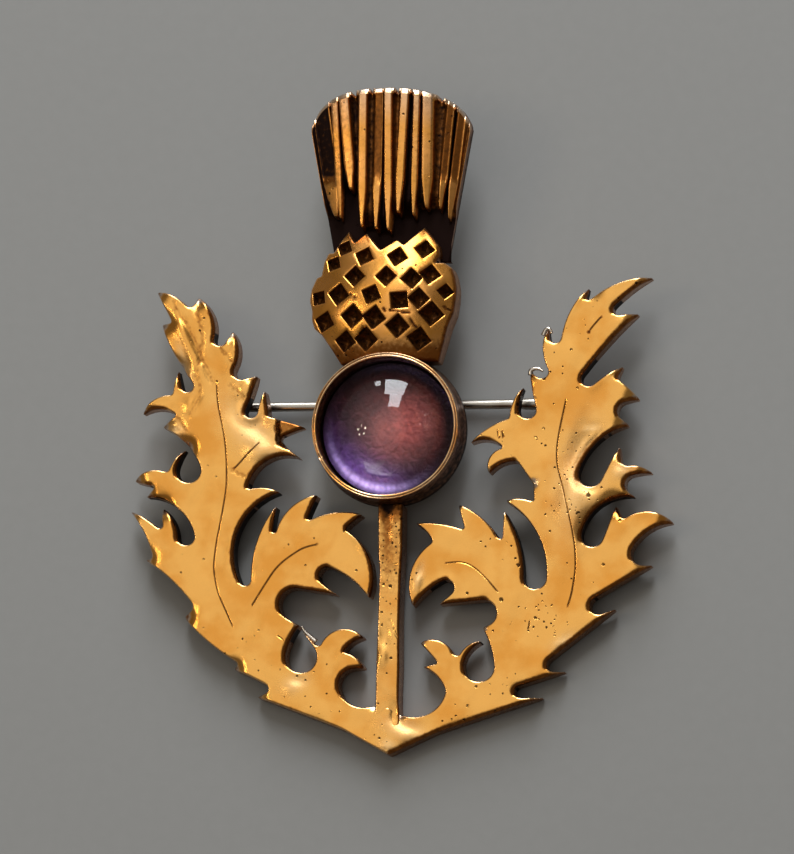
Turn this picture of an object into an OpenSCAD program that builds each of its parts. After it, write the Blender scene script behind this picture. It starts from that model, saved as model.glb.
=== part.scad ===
// Thistle brooch: a pierced cast frame of two thorny leaves, a stem, a pitted calyx and a fluted
// tuft, with a round collar that holds a foil-backed glass cabochon, and a hinged pin at the back.
// The frame is drawn flat: X across the brooch, Y from its lower point to the tuft, Z out of its
// face, with the back of the leaves at Z = 0 on the stem. It is then laid on its back.

/* [Leaves] */
// Thickness of the cast leaves
leaf_t = 1.9; // [1.5:0.1:2.6]
// Angle at which each leaf leans back from the stem, in degrees
leaf_lean = 1.6; // [0:0.1:2]
// How far each thorn is blunted along its edges
thorn_blunt = 0.1; // [0.05:0.01:0.15]

/* [Stem] */
// Thickness of the stem
stem_t = 2.5; // [2:0.1:3.2]

/* [Collar and stone] */
// Inner radius of the collar
collar_bore_r = 6.1; // [5.9:0.05:6.4]
// Thickness of the collar wall at its rim
collar_wall = 0.4; // [0.3:0.05:0.6]
// How much wider the collar is at its foot
collar_flare = 0.25; // [0:0.05:0.3]
// Height of the collar
collar_h = 3.7; // [3.2:0.1:4.4]
// Height of the collar's underside above the back of the leaves
collar_lift = 0.6; // [0.4:0.1:0.9]
// Thickness of the collar's floor
collar_floor = 0.8; // [0.6:0.1:1.2]
// Radius of the cabochon
stone_r = 5.85; // [5.6:0.05:5.95]
// Height of the cabochon's straight edge
stone_edge = 0.6; // [0.4:0.1:1]
// Height of the cabochon's dome above that edge
stone_dome = 2.8; // [2.2:0.1:3.2]
// Thickness of the foil disc
foil_t = 0.12; // [0.08:0.01:0.2]

/* [Calyx and tuft] */
// Height of the underside of the calyx and the tuft above the back of the leaves
head_lift = 0.8; // [0.6:0.1:1]
// Height of the calyx's crown above the back of the leaves
calyx_top = 5.0; // [4.4:0.1:5.6]
// Radius of the calyx's dome
calyx_dome_r = 11.6; // [10:0.2:14]
// Depth of the square pits in the calyx
pit_depth = 1.3; // [0.8:0.1:1.8]
// Depth of the grooves between the flutes
groove = 0.8; // [0.4:0.1:1]
// Height of the tuft's crown above the back of the leaves
tuft_crown = 4.3; // [3.8:0.1:4.8]
// Height of the tuft's sides above the back of the leaves
tuft_side = 2.7; // [2.4:0.1:3.2]

/* [Pin] */
// Radius of the pin's straight shank
pin_r = 0.42; // [0.36:0.01:0.46]
// Distance from the lower point to the pin at its hinge
pin_y = 31.5; // [31.3:0.1:31.7]
// Distance of the pin's axis behind the back of the leaves
pin_drop = 1.95; // [1.9:0.05:2.2]
// Distance of the hinge from the stem
hinge_x = 15.3; // [15:0.1:15.4]
// Distance of the catch from the stem
catch_x = 15.8; // [15.4:0.1:16]
// Turn of the pin's line across the brooch, in degrees
pin_turn = -0.9; // [-1.2:0.1:0]
// Length of the pin from the hinge's axis to its point
pin_l = 33; // [32.6:0.1:33.4]

/* [Hidden] */
$fn = 96;
GOLD = "#c8913a";
STEEL = "#9a9890";
gap = 0.05;

// The tables hold places as they are seen along a line of sight that leans from the front towards
// the right and the lower point. laid() sets such a place on the brooch, at height h.
sight_right = sin(10);
sight_low = sin(9);
sight_front = sqrt(1 - sight_right * sight_right - sight_low * sight_low);
sight_flat = sqrt(sight_right * sight_right + sight_front * sight_front);
function laid(p, h) =
    let (over = h - leaf_t, x = (p.x * sight_flat + over * sight_right) / sight_front)
    [x, (p.y * sight_flat - sight_low * (sight_right * x + sight_front * over)) / pow(sight_flat, 2)];

// Leaf outlines. A row is one thorn and the hollow that follows it, in order from the foot of the
// stem up the inner side, over the top and down the outer side:
// tip_out, tip_up, bow from the tip into the hollow, hollow_out, hollow_up, hollow_r, bow out of
// the hollow to the next tip. Out is the distance from the stem's middle, and up the distance from
// the lower point. A bow is the angle between an edge's arc and its chord: above 0 it cuts into the
// leaf, below 0 it swells out of it.
LEFT_LEAF = [
    [ 1.15,  4.60,  50,  2.95,  6.40, 1.40,   0],
    [ 2.10,  7.85, -29,  3.70,  9.30, 0.15,  22],
    [ 2.10, 10.50, -57,  6.10, 10.05, 0.30, -18],
    [ 7.50, 11.00,   4,  7.60,  8.80, 1.47,  12],
    [ 7.75, 11.60,   6,  8.15, 13.40, 1.42,   0],
    [ 4.40, 14.25,   8,  5.35, 15.90, 0.75,  20],
    [ 1.65, 13.90, -40,  3.40, 20.00, 0.25,   5],
    [ 2.20, 21.25, -21,  6.85, 20.95, 0.20,   2],
    [ 6.15, 23.00, -33,  9.95, 19.80, 0.19,   3],
    [ 9.75, 22.05, -20, 12.50, 15.50, 0.50,  50],
    [ 9.45, 23.20, -20, 12.10, 23.65, 0.20,  50],
    [ 7.65, 26.15,   5,  9.25, 27.90, 0.30,   5],
    [ 7.35, 28.95,  -4, 10.30, 29.95, 0.20,  -5],
    [10.85, 32.20,  -5, 12.00, 30.25, 0.58,  -8],
    [11.50, 33.50,   0, 12.85, 33.75, 0.72, -35],
    [13.80, 37.45,   5, 14.75, 36.55, 0.55, -36],
    [16.80, 40.40,   0, 17.40, 39.80, 0.37, -22],
    [20.45, 40.85,   4, 19.20, 38.20, 0.15,   0],
    [20.00, 38.00,  -8, 17.60, 32.50, 0.55,   0],
    [18.50, 34.00,  -3, 19.10, 31.95, 0.25, -33],
    [21.70, 30.00,  33, 18.75, 29.95, 0.14,   3],
    [19.95, 28.95,  23, 17.50, 25.10, 1.10,  10],
    [17.75, 27.05, -15, 19.50, 25.35, 0.38, -34],
    [22.40, 24.20,  -5, 20.65, 23.60, 0.13,   3],
    [21.40, 22.80,  38, 17.70, 19.30, 0.77, -26],
    [19.85, 21.90,  -6, 20.00, 20.25, 0.25, -10],
    [22.75, 21.60,  16, 21.00, 17.65, 0.30,   0],
    [21.45, 17.35,  11, 17.60, 13.20, 0.50,   0],
    [18.00, 12.35, -10, 13.45,  8.20, 0.22,   0],
    [13.60,  7.75,   3, 10.85,  6.00, 0.40,   0],
    [11.60,  5.35,   0,  7.20, -4.85, 8.00,   0]];
RIGHT_LEAF = [
    [ 0.90,  3.85,  50,  4.40,  5.80, 0.55,  26],
    [ 2.90,  7.95,   0,  4.10,  8.33, 0.11,   2],
    [ 2.70, 10.05, -48,  5.95,  9.25, 0.32, -32],
    [ 8.20, 10.20,  28,  7.85,  8.00, 1.35,  12],
    [ 8.15, 11.40,   0,  8.25, 12.65, 1.15,   0],
    [ 4.30, 13.40,   5,  5.00, 14.85, 0.70,  14],
    [ 2.10, 13.20, -39,  3.50, 18.95, 0.28,  18],
    [ 2.25, 20.50, -12,  6.40, 20.15, 0.18,   0],
    [ 6.05, 22.15, -21,  9.75, 19.30, 0.20,   0],
    [10.05, 21.65, -18, 12.75, 15.75, 1.00,  33],
    [10.15, 22.45, -20, 12.50, 22.60, 0.18,   0],
    [12.60, 23.95,   0, 11.00, 25.50, 0.43,  26],
    [ 8.75, 24.80, -50,  9.75, 27.15, 0.15,  34],
    [ 7.05, 27.45, -15, 10.30, 29.85, 0.25, -21],
    [11.80, 32.50,  10, 12.10, 30.40, 0.78,  -4],
    [12.25, 34.00,   5, 13.35, 33.75, 0.60, -27],
    [13.90, 37.70,   0, 14.55, 36.75, 0.52, -19],
    [17.50, 41.20,   0, 17.45, 40.20, 0.20, -20],
    [23.10, 42.05,   8, 20.10, 39.15, 0.50,  -3],
    [21.85, 38.90,   5, 17.45, 33.10, 0.66,  -5],
    [20.45, 34.35,   0, 20.40, 33.30, 0.40,  -6],
    [21.85, 31.40,   5, 20.75, 30.30, 0.82,  -5],
    [20.95, 29.10,  29, 17.60, 24.75, 1.07,   0],
    [20.10, 27.35,   3, 20.85, 26.10, 0.60, -23],
    [23.00, 24.95,   8, 21.40, 23.90, 0.82,   0],
    [21.50, 22.85,  42, 17.75, 19.40, 0.97,   4],
    [19.75, 22.20,   0, 20.50, 21.10, 0.20, -40],
    [24.80, 20.60,  27, 22.10, 17.85, 1.00,   0],
    [23.00, 16.95,   0, 18.30, 13.30, 0.78,  -5],
    [19.80, 13.15,   0, 14.35,  8.15, 0.60,   0],
    [15.45,  7.65,   0, 11.45,  5.80, 0.53,   6],
    [13.50,  5.40,   0,  8.60, -8.90, 12.0,   0]];
LOWER_POINT = [0, 0.3];
// Thorns that curl over at the end: root_out, root_up, end_out, end_up, half width at the root
CURLS = [[12.25, 33.75, 13.30, 33.80, 0.14], [13.75, 37.50, 14.10, 37.35, 0.14]];

// Stem: distance from the lower point, left edge, right edge
STEM = [
    [2.5, -1.30, 1.00], [5.0, -1.15, 0.85], [8.0, -1.05, 0.95], [12.0, -0.90, 0.95],
    [14.0, -0.85, 1.00], [16.2, -0.75, 1.10], [18.0, -0.87, 1.20], [24.0, -0.87, 1.28]];

// Calyx: its rim, clockwise from the lower left, with the zigzag of bracts along the top
CALYX_RIM = [
    [-4.1, 34.3], [-4.9, 35.6], [-5.8, 36.9], [-6.5, 37.5], [-6.75, 38.3], [-6.7, 39.0],
    [-6.95, 40.0], [-6.8, 41.0], [-6.3, 42.0], [-5.85, 42.1], [-5.65, 43.4], [-5.3, 44.2],
    [-4.8, 44.15], [-4.4, 44.9], [-3.6, 46.2], [-2.9, 45.0], [-1.9, 45.9], [-0.5, 44.2],
    [0.9, 45.2], [1.5, 44.7], [3.1, 46.5], [3.9, 45.5], [4.5, 44.7], [4.6, 43.9],
    [4.25, 43.15], [5.0, 43.2], [5.6, 42.8], [5.9, 42.0], [6.05, 41.0], [6.0, 40.0],
    [5.8, 38.8], [5.3, 37.6], [4.9, 36.2], [4.4, 34.6]];
// Square pits of the calyx: x, y, half diagonal, turn in degrees
CALYX_PITS = [
    [-3.9, 44.6, 0.70, 20], [-2.1, 44.1, 0.80, 25], [0.7, 43.7, 0.80, 35], [3.1, 44.4, 0.75, 40],
    [-4.8, 43.2, 0.70, 15], [-3.0, 42.1, 0.90, 42], [-0.15, 42.1, 0.85, 45], [2.0, 41.9, 0.85, 48],
    [3.6, 42.2, 0.85, 38], [-6.0, 40.2, 0.70, 5], [-4.4, 40.6, 0.90, 35], [-1.6, 40.5, 0.85, 22],
    [0.9, 40.1, 0.95, 5], [2.7, 40.2, 0.85, 42], [4.9, 40.8, 0.65, 40], [-5.6, 38.2, 0.85, 25],
    [-3.1, 38.6, 0.95, 38], [-1.2, 38.6, 0.95, 35], [0.8, 37.8, 0.95, 40], [3.7, 39.0, 1.00, 40],
    [-3.9, 36.8, 0.85, 35], [-1.9, 36.8, 0.90, 40], [2.7, 36.8, 0.95, 35]];
CALYX_MIDDLE = [-0.2, 39.9];
calyx_rim_h = 2.9;

// Tuft: a fan from its foot to its shoulders, closed by a rounded top
tuft_foot_y = 43.6;
tuft_shoulder_y = 55.2;
tuft_foot_left = -4.9;
tuft_foot_right = 5.5;
tuft_shoulder_left = -6.95;
tuft_shoulder_right = 7.05;
tuft_rise = 3.4;
tuft_mid_h = 3.6;
tuft_step = 0.15;
tuft_floor_z = 1.7;
tuft_round = 0.5;
spear_l = 2.2;
nick_l = 0.35;
tuft_rings = 12;
spear_least = 0.08;
// Flutes, from left to right: left and right edge at the top, x and y of the pointed lower end
FLUTES = [
    [-6.70, -5.25, -4.60, 47.20], [-5.00, -4.45, -4.20, 47.00], [-4.20, -3.40, -3.30, 49.20],
    [-2.50, -1.80, -2.35, 46.15], [-1.00, -0.35, -1.05, 45.90], [-0.10,  0.45,  0.05, 45.80],
    [ 1.05,  1.70,  0.95, 47.40], [ 2.20,  2.60,  2.20, 47.00], [ 3.05,  3.95,  3.35, 48.00],
    [ 5.10,  5.70,  4.50, 47.80], [ 6.05,  6.75,  5.20, 47.00]];

// Hinge and catch
eye_r = 0.95;
eye_w = 0.9;
lug_t = 0.65;
rivet_r = 0.4;
rivet_bore_r = 0.43;
eye_bore_r = 0.45;
rivet_head_r = 0.62;
rivet_head_t = 0.25;
foot_w = 2.8;
foot_z = -0.85;
catch_r = 1.1;
catch_bore_r = 0.52;
catch_l = 2;
shank_thick_r = 0.52;
pin_taper_l = 4.5;
pin_point_r = 0.1;

// Lie of the brooch: it rests on its lower point, the hinge and the catch
lug_out = eye_w / 2 + gap + lug_t;
rest_reach = pin_y - lug_out - LOWER_POINT.y;
rest_tilt = atan((pin_drop + eye_r) / rest_reach);
box_mid = [1.04, 29.4];
collar_seen = [-0.31, 29.01];
collar_at = laid(collar_seen, collar_lift + collar_h);

function way(a) = [cos(a), sin(a)];
function heading(v) = atan2(v.y, v.x);

// Point at part t of an arc that starts at p, has the given chord and heading, and turns by 2 * bow
function on_arc(p, chord, head, bow, t) =
    p + way(head - bow + bow * t) * chord * (abs(bow) < 0.5 ? t : sin(bow * t) / sin(bow));

function arc_steps(bow) = ceil(abs(bow) / 7) + 1;

// Arc from tip p into the hollow with middle c and radius r, which it meets without a corner
function reach(p, c, r, bow) = sqrt(pow(norm(c - p), 2) - pow(r * cos(bow), 2)) + r * sin(bow);
function lean(p, c, r, bow) = asin(r * cos(bow) / norm(c - p));

// One thorn's edges: down from its tip, round the hollow and up to the next tip
function thorn_edge(row, next) =
    let (tip = [row[0], row[1]], c = [row[3], row[4]], r = row[5], bow_in = row[2], bow_out = row[6])
    let (in_l = reach(tip, c, r, bow_in), out_l = reach(next, c, r, bow_out))
    let (in_head = heading(c - tip) - lean(tip, c, r, bow_in))
    let (back_head = heading(c - next) + lean(next, c, r, bow_out))
    let (enter = tip + way(in_head) * in_l, leave = next + way(back_head) * out_l)
    let (a = heading(enter - c), sweep = (heading(leave - c) - a + 720) % 360)
    let (n_in = arc_steps(bow_in), n_out = arc_steps(bow_out), n_round = ceil(sweep / 20) + 1)
    concat(
        [for (t = [thorn_blunt / in_l, for (i = [1 : 1 : n_in - 1]) i / n_in])
            on_arc(tip, in_l, in_head, bow_in, t)],
        [for (i = [0 : n_round]) c + r * way(a + sweep * i / n_round)],
        [for (t = [for (i = [1 : 1 : n_out - 1]) i / n_out, 1 - thorn_blunt / out_l])
            on_arc(leave, out_l, back_head + 180, bow_out, t)]);

// The outline crosses the stem's middle a little, where the two leaves are joined
function leaf_outline(rows) = concat(
    [LOWER_POINT, [-0.4, 0.8], [-0.4, 4.4]],
    [for (i = [0 : len(rows) - 1])
        each thorn_edge(rows[i], i < len(rows) - 1 ? [rows[i + 1][0], rows[i + 1][1]] : LOWER_POINT)]);

// Height of the leaves' front at a distance from the stem
function leaf_front(out) = leaf_t - abs(out) * tan(leaf_lean);

// One of the leaves, leaning back from the stem: side is 1 on the right and -1 on the left
module leaf(rows, side) {
    rotate([0, side * leaf_lean, 0])
        linear_extrude(height = leaf_t)
            polygon([for (p = leaf_outline(rows)) laid([side * p.x, p.y], leaf_front(p.x))]);
}

module curls() {
    rotate([0, leaf_lean, 0])
        for (c = CURLS)
            linear_extrude(height = leaf_t)
                polygon([for (p = [[c[0], c[1] - c[4]], [c[2], c[3]], [c[0], c[1] + c[4]]])
                    laid(p, leaf_front(p.x))]);
}

module stem() {
    proud = 0.25;
    count = len(STEM);
    edge = concat(
        [for (row = STEM) [row[2], row[0]]],
        [for (i = [1 : count]) [STEM[count - i][1], STEM[count - i][0]]]);
    translate([0, 0, leaf_t + proud - stem_t])
        linear_extrude(height = stem_t)
            polygon([for (p = edge) laid(p, leaf_t + proud)]);
}

module calyx() {
    pit_side = sqrt(2);
    tall = 10;
    middle = laid(CALYX_MIDDLE, calyx_top);
    difference() {
        intersection() {
            translate([0, 0, head_lift])
                linear_extrude(height = tall)
                    polygon([for (p = CALYX_RIM) laid(p, calyx_rim_h)]);
            translate([middle.x, middle.y, calyx_top - calyx_dome_r])
                sphere(r = calyx_dome_r, $fn = 180);
        }
        for (pit = CALYX_PITS)
            let (away = norm([pit[0], pit[1]] - CALYX_MIDDLE))
            let (skin = calyx_top - calyx_dome_r + sqrt(pow(calyx_dome_r, 2) - pow(away, 2)))
            let (at = laid([pit[0], pit[1]], skin))
            translate([at.x, at.y, skin - pit_depth + tall / 2])
                rotate([0, 0, pit[3]])
                    cube([pit[2] * pit_side, pit[2] * pit_side, tall], center = true);
    }
}

// Tuft surface: columns run from left to right, rings from foot to top
function ease(v) = let (k = min(1, max(0, v))) k * k * (3 - 2 * k);
function tuft_part(y) = min(1, (y - tuft_foot_y) / (tuft_shoulder_y - tuft_foot_y));
function tuft_left(y) = tuft_foot_left + (tuft_shoulder_left - tuft_foot_left) * tuft_part(y);
function tuft_right(y) = tuft_foot_right + (tuft_shoulder_right - tuft_foot_right) * tuft_part(y);
function tuft_across(x, y) = (2 * x - tuft_left(y) - tuft_right(y)) / (tuft_right(y) - tuft_left(y));
function tuft_end(x) =
    tuft_shoulder_y + tuft_rise * sqrt(max(0, 1 - pow(abs(tuft_across(x, tuft_shoulder_y)), 2.3)));
function tuft_skin(x, y) =
    tuft_side + (tuft_crown - tuft_side) * (1 - pow(min(1, abs(tuft_across(x, y))), 2.2));

// A flute's edge: hand is -1 for the left edge and 1 for the right
function flute_x(row, hand, y) =
    let (k = (y - row[3]) / (tuft_shoulder_y + tuft_rise / 2 - row[3]))
    let (half = max(spear_least, (row[1] - row[0]) / 2 * pow(min(1, max(0, 2 * k)), 0.7)))
    row[2] + ((row[0] + row[1]) / 2 - row[2]) * max(0, k) + hand * half;

// Columns: the left side, then a flute's two edges and the groove after it, last the right side
column_count = 3 * len(FLUTES) + 1;
function column_x(j, y) =
    let (i = floor((j - 1) / 3), kind = (j - 1) % 3)
    j == 0 ? tuft_left(y) :
    j == column_count - 1 ? tuft_right(y) :
    kind == 0 ? flute_x(FLUTES[i], -1, y) :
    kind == 1 ? flute_x(FLUTES[i], 1, y) :
    (flute_x(FLUTES[i], 1, y) + flute_x(FLUTES[i + 1], -1, y)) / 2;
function column_z(j, x, y, y_end) =
    let (i = floor((j - 1) / 3), skin = tuft_skin(x, y) - tuft_round * ease(1 - (y_end - y) / 0.6))
    let (side = j == 0 || j == column_count - 1, in_groove = !side && (j - 1) % 3 == 2)
    let (foot = side ? 0 : in_groove ? max(FLUTES[i][3], FLUTES[i + 1][3]) : FLUTES[i][3])
    let (spear = side ? 1 : ease((y - foot) / spear_l), deep = in_groove ? groove : 0)
    tuft_floor_z + (max(tuft_floor_z, skin - deep) - tuft_floor_z) * spear;

module tuft() {
    columns = column_count;
    last = tuft_rings - 1;
    count = columns * tuft_rings;
    tops = [for (i = [0 : last]) for (j = [0 : columns - 1])
        let (x_end = column_x(j, tuft_shoulder_y + tuft_rise / 2))
        let (notch = j > 0 && j < columns - 1 && (j - 1) % 3 == 2 ? nick_l : 0)
        let (y_end = tuft_end(x_end) - notch, part = pow(i / last, 0.8))
        let (y = tuft_foot_y + (y_end - tuft_foot_y) * part, x = column_x(j, y))
        [x, y, column_z(j, x, y, y_end)]];
    set = [for (p = tops) let (at = laid([p.x, p.y], tuft_mid_h)) [at.x, at.y, p.z]];
    points = concat(set, [for (p = set) [p.x, p.y, head_lift + tuft_step]]);
    faces = concat(
        [for (i = [0 : last - 1]) for (j = [0 : columns - 2])
            let (a = i * columns + j, b = a + columns)
            each [[a, b, b + 1], [a, b + 1, a + 1]]],
        [for (i = [0 : last - 1]) for (j = [0 : columns - 2])
            let (a = count + i * columns + j, b = a + columns)
            each [[a, b + 1, b], [a, a + 1, b + 1]]],
        [for (j = [0 : columns - 2])
            each [[j, j + 1, count + j + 1], [j, count + j + 1, count + j]]],
        [for (j = [0 : columns - 2])
            let (a = last * columns + j)
            each [[a, count + a + 1, a + 1], [a, count + a, count + a + 1]]],
        [for (i = [0 : last - 1])
            let (a = i * columns, b = a + columns)
            each [[a, count + b, b], [a, count + a, count + b]]],
        [for (i = [0 : last - 1])
            let (a = i * columns + columns - 1, b = a + columns)
            each [[a, b, count + b], [a, count + b, count + a]]]);
    polyhedron(points = points, faces = faces, convexity = 8);
}

module collar() {
    rim_r = collar_bore_r + collar_wall;
    translate([collar_at.x, collar_at.y, collar_lift])
        difference() {
            cylinder(r1 = rim_r + collar_flare, r2 = rim_r, h = collar_h);
            translate([0, 0, collar_floor])
                cylinder(r = collar_bore_r, h = collar_h);
        }
}

// Puts a piece on the pin's line, with the hinge's axis along Y and the shank along minus X
module on_pin_line() {
    translate([hinge_x, pin_y, -pin_drop])
        rotate([0, 0, pin_turn])
            children();
}

module hinge_lugs() {
    on_pin_line() {
        foot_x = -foot_w / 2;
        foot_up = pin_drop + foot_z;
        translate([foot_x, -lug_out, foot_up])
            cube([foot_w, 2 * lug_out, 1.2]);
        for (side = [-1, 1])
            translate([0, side * (lug_out - lug_t / 2), 0])
                difference() {
                    union() {
                        rotate([90, 0, 0])
                            cylinder(r = eye_r, h = lug_t, center = true);
                        translate([-eye_r, -lug_t / 2, 0])
                            cube([2 * eye_r, lug_t, foot_up + 0.4]);
                    }
                    rotate([90, 0, 0])
                        cylinder(r = rivet_bore_r, h = 2 * lug_t, center = true);
                }
    }
}

// Open cradle: a tube along the pin with its mouth to the back, on a short web
module pin_catch() {
    mouth = 2 * catch_bore_r;
    web = 1.3;
    on_pin_line()
        translate([-hinge_x - catch_x, 0, 0])
            difference() {
                union() {
                    rotate([0, 90, 0])
                        cylinder(r = catch_r, h = catch_l, center = true);
                    translate([-catch_l / 2, -web / 2, 0])
                        cube([catch_l, web, pin_drop + 0.4]);
                }
                rotate([0, 90, 0])
                    cylinder(r = catch_bore_r, h = 2 * catch_l, center = true);
                translate([-catch_l, -mouth / 2, -2 * catch_r])
                    cube([2 * catch_l, mouth, 2 * catch_r]);
            }
}

// Turns the flat drawing onto its back, with the middle of its box over the origin
module lay() {
    translate([-box_mid.x, -box_mid.y, -LOWER_POINT.y * sin(rest_tilt)])
        rotate([rest_tilt, 0, 0])
            children();
}

module thistle_frame() {
    color(GOLD)
        lay()
            difference() {
                union() {
                    leaf(LEFT_LEAF, -1);
                    leaf(RIGHT_LEAF, 1);
                    curls();
                    stem();
                    calyx();
                    tuft();
                    collar();
                    hinge_lugs();
                    pin_catch();
                }
                translate([collar_at.x, collar_at.y, collar_lift + collar_floor])
                    cylinder(r = collar_bore_r, h = 2 * collar_h);
            }
}

module cabochon() {
    dome_r = (pow(stone_r, 2) + pow(stone_dome, 2)) / (2 * stone_dome);
    tall = stone_edge + stone_dome;
    color("#6a3a78")
        lay()
            translate([collar_at.x, collar_at.y, collar_lift + collar_floor + foil_t + 2 * gap])
                intersection() {
                    cylinder(r = stone_r, h = tall);
                    translate([0, 0, tall - dome_r])
                        sphere(r = dome_r, $fn = 144);
                }
}

module foil_disc() {
    color("#b7a6c8")
        lay()
            translate([collar_at.x, collar_at.y, collar_lift + collar_floor + gap])
                cylinder(r = stone_r, h = foil_t);
}

module pin_stem() {
    thick_l = 3;
    cone_l = 2;
    straight_l = pin_l - pin_taper_l;
    color(STEEL)
        lay()
            on_pin_line()
                difference() {
                    union() {
                        rotate([90, 0, 0])
                            cylinder(r = eye_r, h = eye_w, center = true);
                        rotate([0, -90, 0]) {
                            cylinder(r = pin_r, h = straight_l);
                            cylinder(r = shank_thick_r, h = thick_l);
                            translate([0, 0, thick_l])
                                cylinder(r1 = shank_thick_r, r2 = pin_r, h = cone_l);
                            translate([0, 0, straight_l])
                                cylinder(r1 = pin_r, r2 = pin_point_r, h = pin_taper_l);
                        }
                    }
                    rotate([90, 0, 0])
                        cylinder(r = eye_bore_r, h = 2 * eye_w, center = true);
                    for (side = [-1, 1])
                        translate([0, side * (eye_w + pin_r), 0])
                            cube([2 * eye_r + 1, eye_w + 2 * pin_r, 2], center = true);
                }
}

module hinge_rivet() {
    shank_l = 2 * (lug_out + gap / 2);
    color(STEEL)
        lay()
            on_pin_line()
                rotate([90, 0, 0]) {
                    cylinder(r = rivet_r, h = shank_l, center = true);
                    for (side = [-1, 1])
                        translate([0, 0, side * (shank_l / 2 + rivet_head_t / 2)])
                            cylinder(r = rivet_head_r, h = rivet_head_t, center = true);
                }
}

thistle_frame();
cabochon();
foil_disc();
pin_stem();
hinge_rivet();
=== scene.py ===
"""Thistle brooch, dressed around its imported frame.

The cast frame is drawn flat, in millimetres: X across the brooch, Y from its lower point to the
tuft, Z out of its face. LIE.metres() lays it on its back in the row frame. Outline tables hold
places as they are seen along the line of sight, and LIE.seen() sets them on the drawing.
"""

import logging
import math
from collections.abc import Callable
from dataclasses import dataclass, field
from enum import Enum

import bpy
import numpy as np
from mathutils import Matrix, Vector
from mathutils.geometry import delaunay_2d_cdt


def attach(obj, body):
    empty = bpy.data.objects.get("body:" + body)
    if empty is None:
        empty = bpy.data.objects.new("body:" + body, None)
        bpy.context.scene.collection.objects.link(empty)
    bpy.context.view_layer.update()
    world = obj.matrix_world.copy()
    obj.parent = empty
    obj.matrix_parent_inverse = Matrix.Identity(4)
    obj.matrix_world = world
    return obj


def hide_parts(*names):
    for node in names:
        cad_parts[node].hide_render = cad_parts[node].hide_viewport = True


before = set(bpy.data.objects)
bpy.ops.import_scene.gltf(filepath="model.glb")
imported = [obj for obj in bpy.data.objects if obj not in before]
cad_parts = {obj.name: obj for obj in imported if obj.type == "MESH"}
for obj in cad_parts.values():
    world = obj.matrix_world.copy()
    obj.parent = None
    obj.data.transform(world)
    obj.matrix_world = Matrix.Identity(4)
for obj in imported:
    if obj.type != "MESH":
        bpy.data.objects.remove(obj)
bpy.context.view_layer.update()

LOG = logging.getLogger("thistle_brooch")
MM = 0.001
MOST_PAIRS = 3_000_000
HORN_SIDES = 12
FRAME_NODE = "thistle_frame"
Array = np.ndarray
Height = Callable[[Array, Array], Array]
# A row of numbers, a table of rows, and lines of seen places
Row = tuple[float, ...]
Table = tuple[Row, ...]
Ways = tuple[Table, ...]
Sockets = bpy.types.bpy_prop_collection
Socket = bpy.types.NodeSocket
Material = bpy.types.Material


class Body(Enum):
    """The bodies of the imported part."""

    BROOCH = "brooch"
    PIN = "pin"


class Slot(Enum):
    """The record's material slots."""

    FRAME = "frame_metal"
    STONE = "stone_glass"
    FOIL = "foil"
    PIN = "pin_metal"


# Places and lines


def ease(v: Array) -> Array:
    """Smooth step from 0 to 1: k squared times three minus two k, with k held between 0 and 1."""
    k = np.clip(v, 0.0, 1.0)
    return k * k * (3.0 - 2.0 * k)


def fade(away: Array, reach: Array | float) -> Array:
    """1 at no distance and 0 from the reach on, straight between them."""
    return np.clip(1.0 - away / reach, 0.0, 1.0)


def full_turn(count: int) -> Array:
    """Evenly spaced angles round a full turn, in radians."""
    return np.linspace(0.0, 2 * math.pi, count, endpoint=False)


def way(angle: Array) -> Array:
    """Unit vectors at the given angles, in radians."""
    return np.stack([np.cos(angle), np.sin(angle)], axis=-1)


def heading(v: Array) -> Array:
    """Angles of plane vectors, in radians."""
    return np.arctan2(v[..., 1], v[..., 0])


def aside(v: Array) -> Array:
    """Unit vectors at right angles to vectors of the drawing, to their right."""
    right = np.stack([v[..., 1], -v[..., 0]], axis=-1)
    return right / np.maximum(np.linalg.norm(right, axis=-1), 1e-9)[..., None]


@dataclass(frozen=True)
class Lie:
    """How the flat drawing lies on its back, and how seen places are set on it. Sizes in mm."""

    leaf_t: float = 1.9
    tilt_deg: float = 5.512306
    middle_x: float = 1.04
    middle_y: float = 29.4
    point_y: float = 0.3
    sight_right: float = math.sin(math.radians(10))
    sight_low: float = math.sin(math.radians(9))

    def seen(self, places: Array, height: Array | float) -> Array:
        """Places on the drawing that are seen at the given places.

        Args:
            places: seen places, one row each.
            height: height of each place above the back of the leaves.

        Returns:
            The drawing's x and y, one row each.
        """
        right, low = self.sight_right, self.sight_low
        front = math.sqrt(1 - right * right - low * low)
        flat = math.sqrt(right * right + front * front)
        over = np.asarray(height, float) - self.leaf_t
        x = (places[..., 0] * flat + over * right) / front
        y = (places[..., 1] * flat - low * (right * x + front * over)) / (flat * flat)
        return np.stack([x, y], axis=-1)

    def metres(self, points: Array) -> Array:
        """Points of the flat drawing in the row frame: turned about X by the tilt, then moved.

        Args:
            points: the points.

        Returns:
            The points in metres.
        """
        c, s = math.cos(math.radians(self.tilt_deg)), math.sin(math.radians(self.tilt_deg))
        x, y, z = points[..., 0], points[..., 1], points[..., 2]
        laid = np.stack(
            [x - self.middle_x, y * c - z * s - self.middle_y, y * s + z * c - self.point_y * s],
            axis=-1,
        )
        return laid * MM


LIE = Lie()
WINDOW_SLOPE = np.array([0.11, 0.23])


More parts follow.
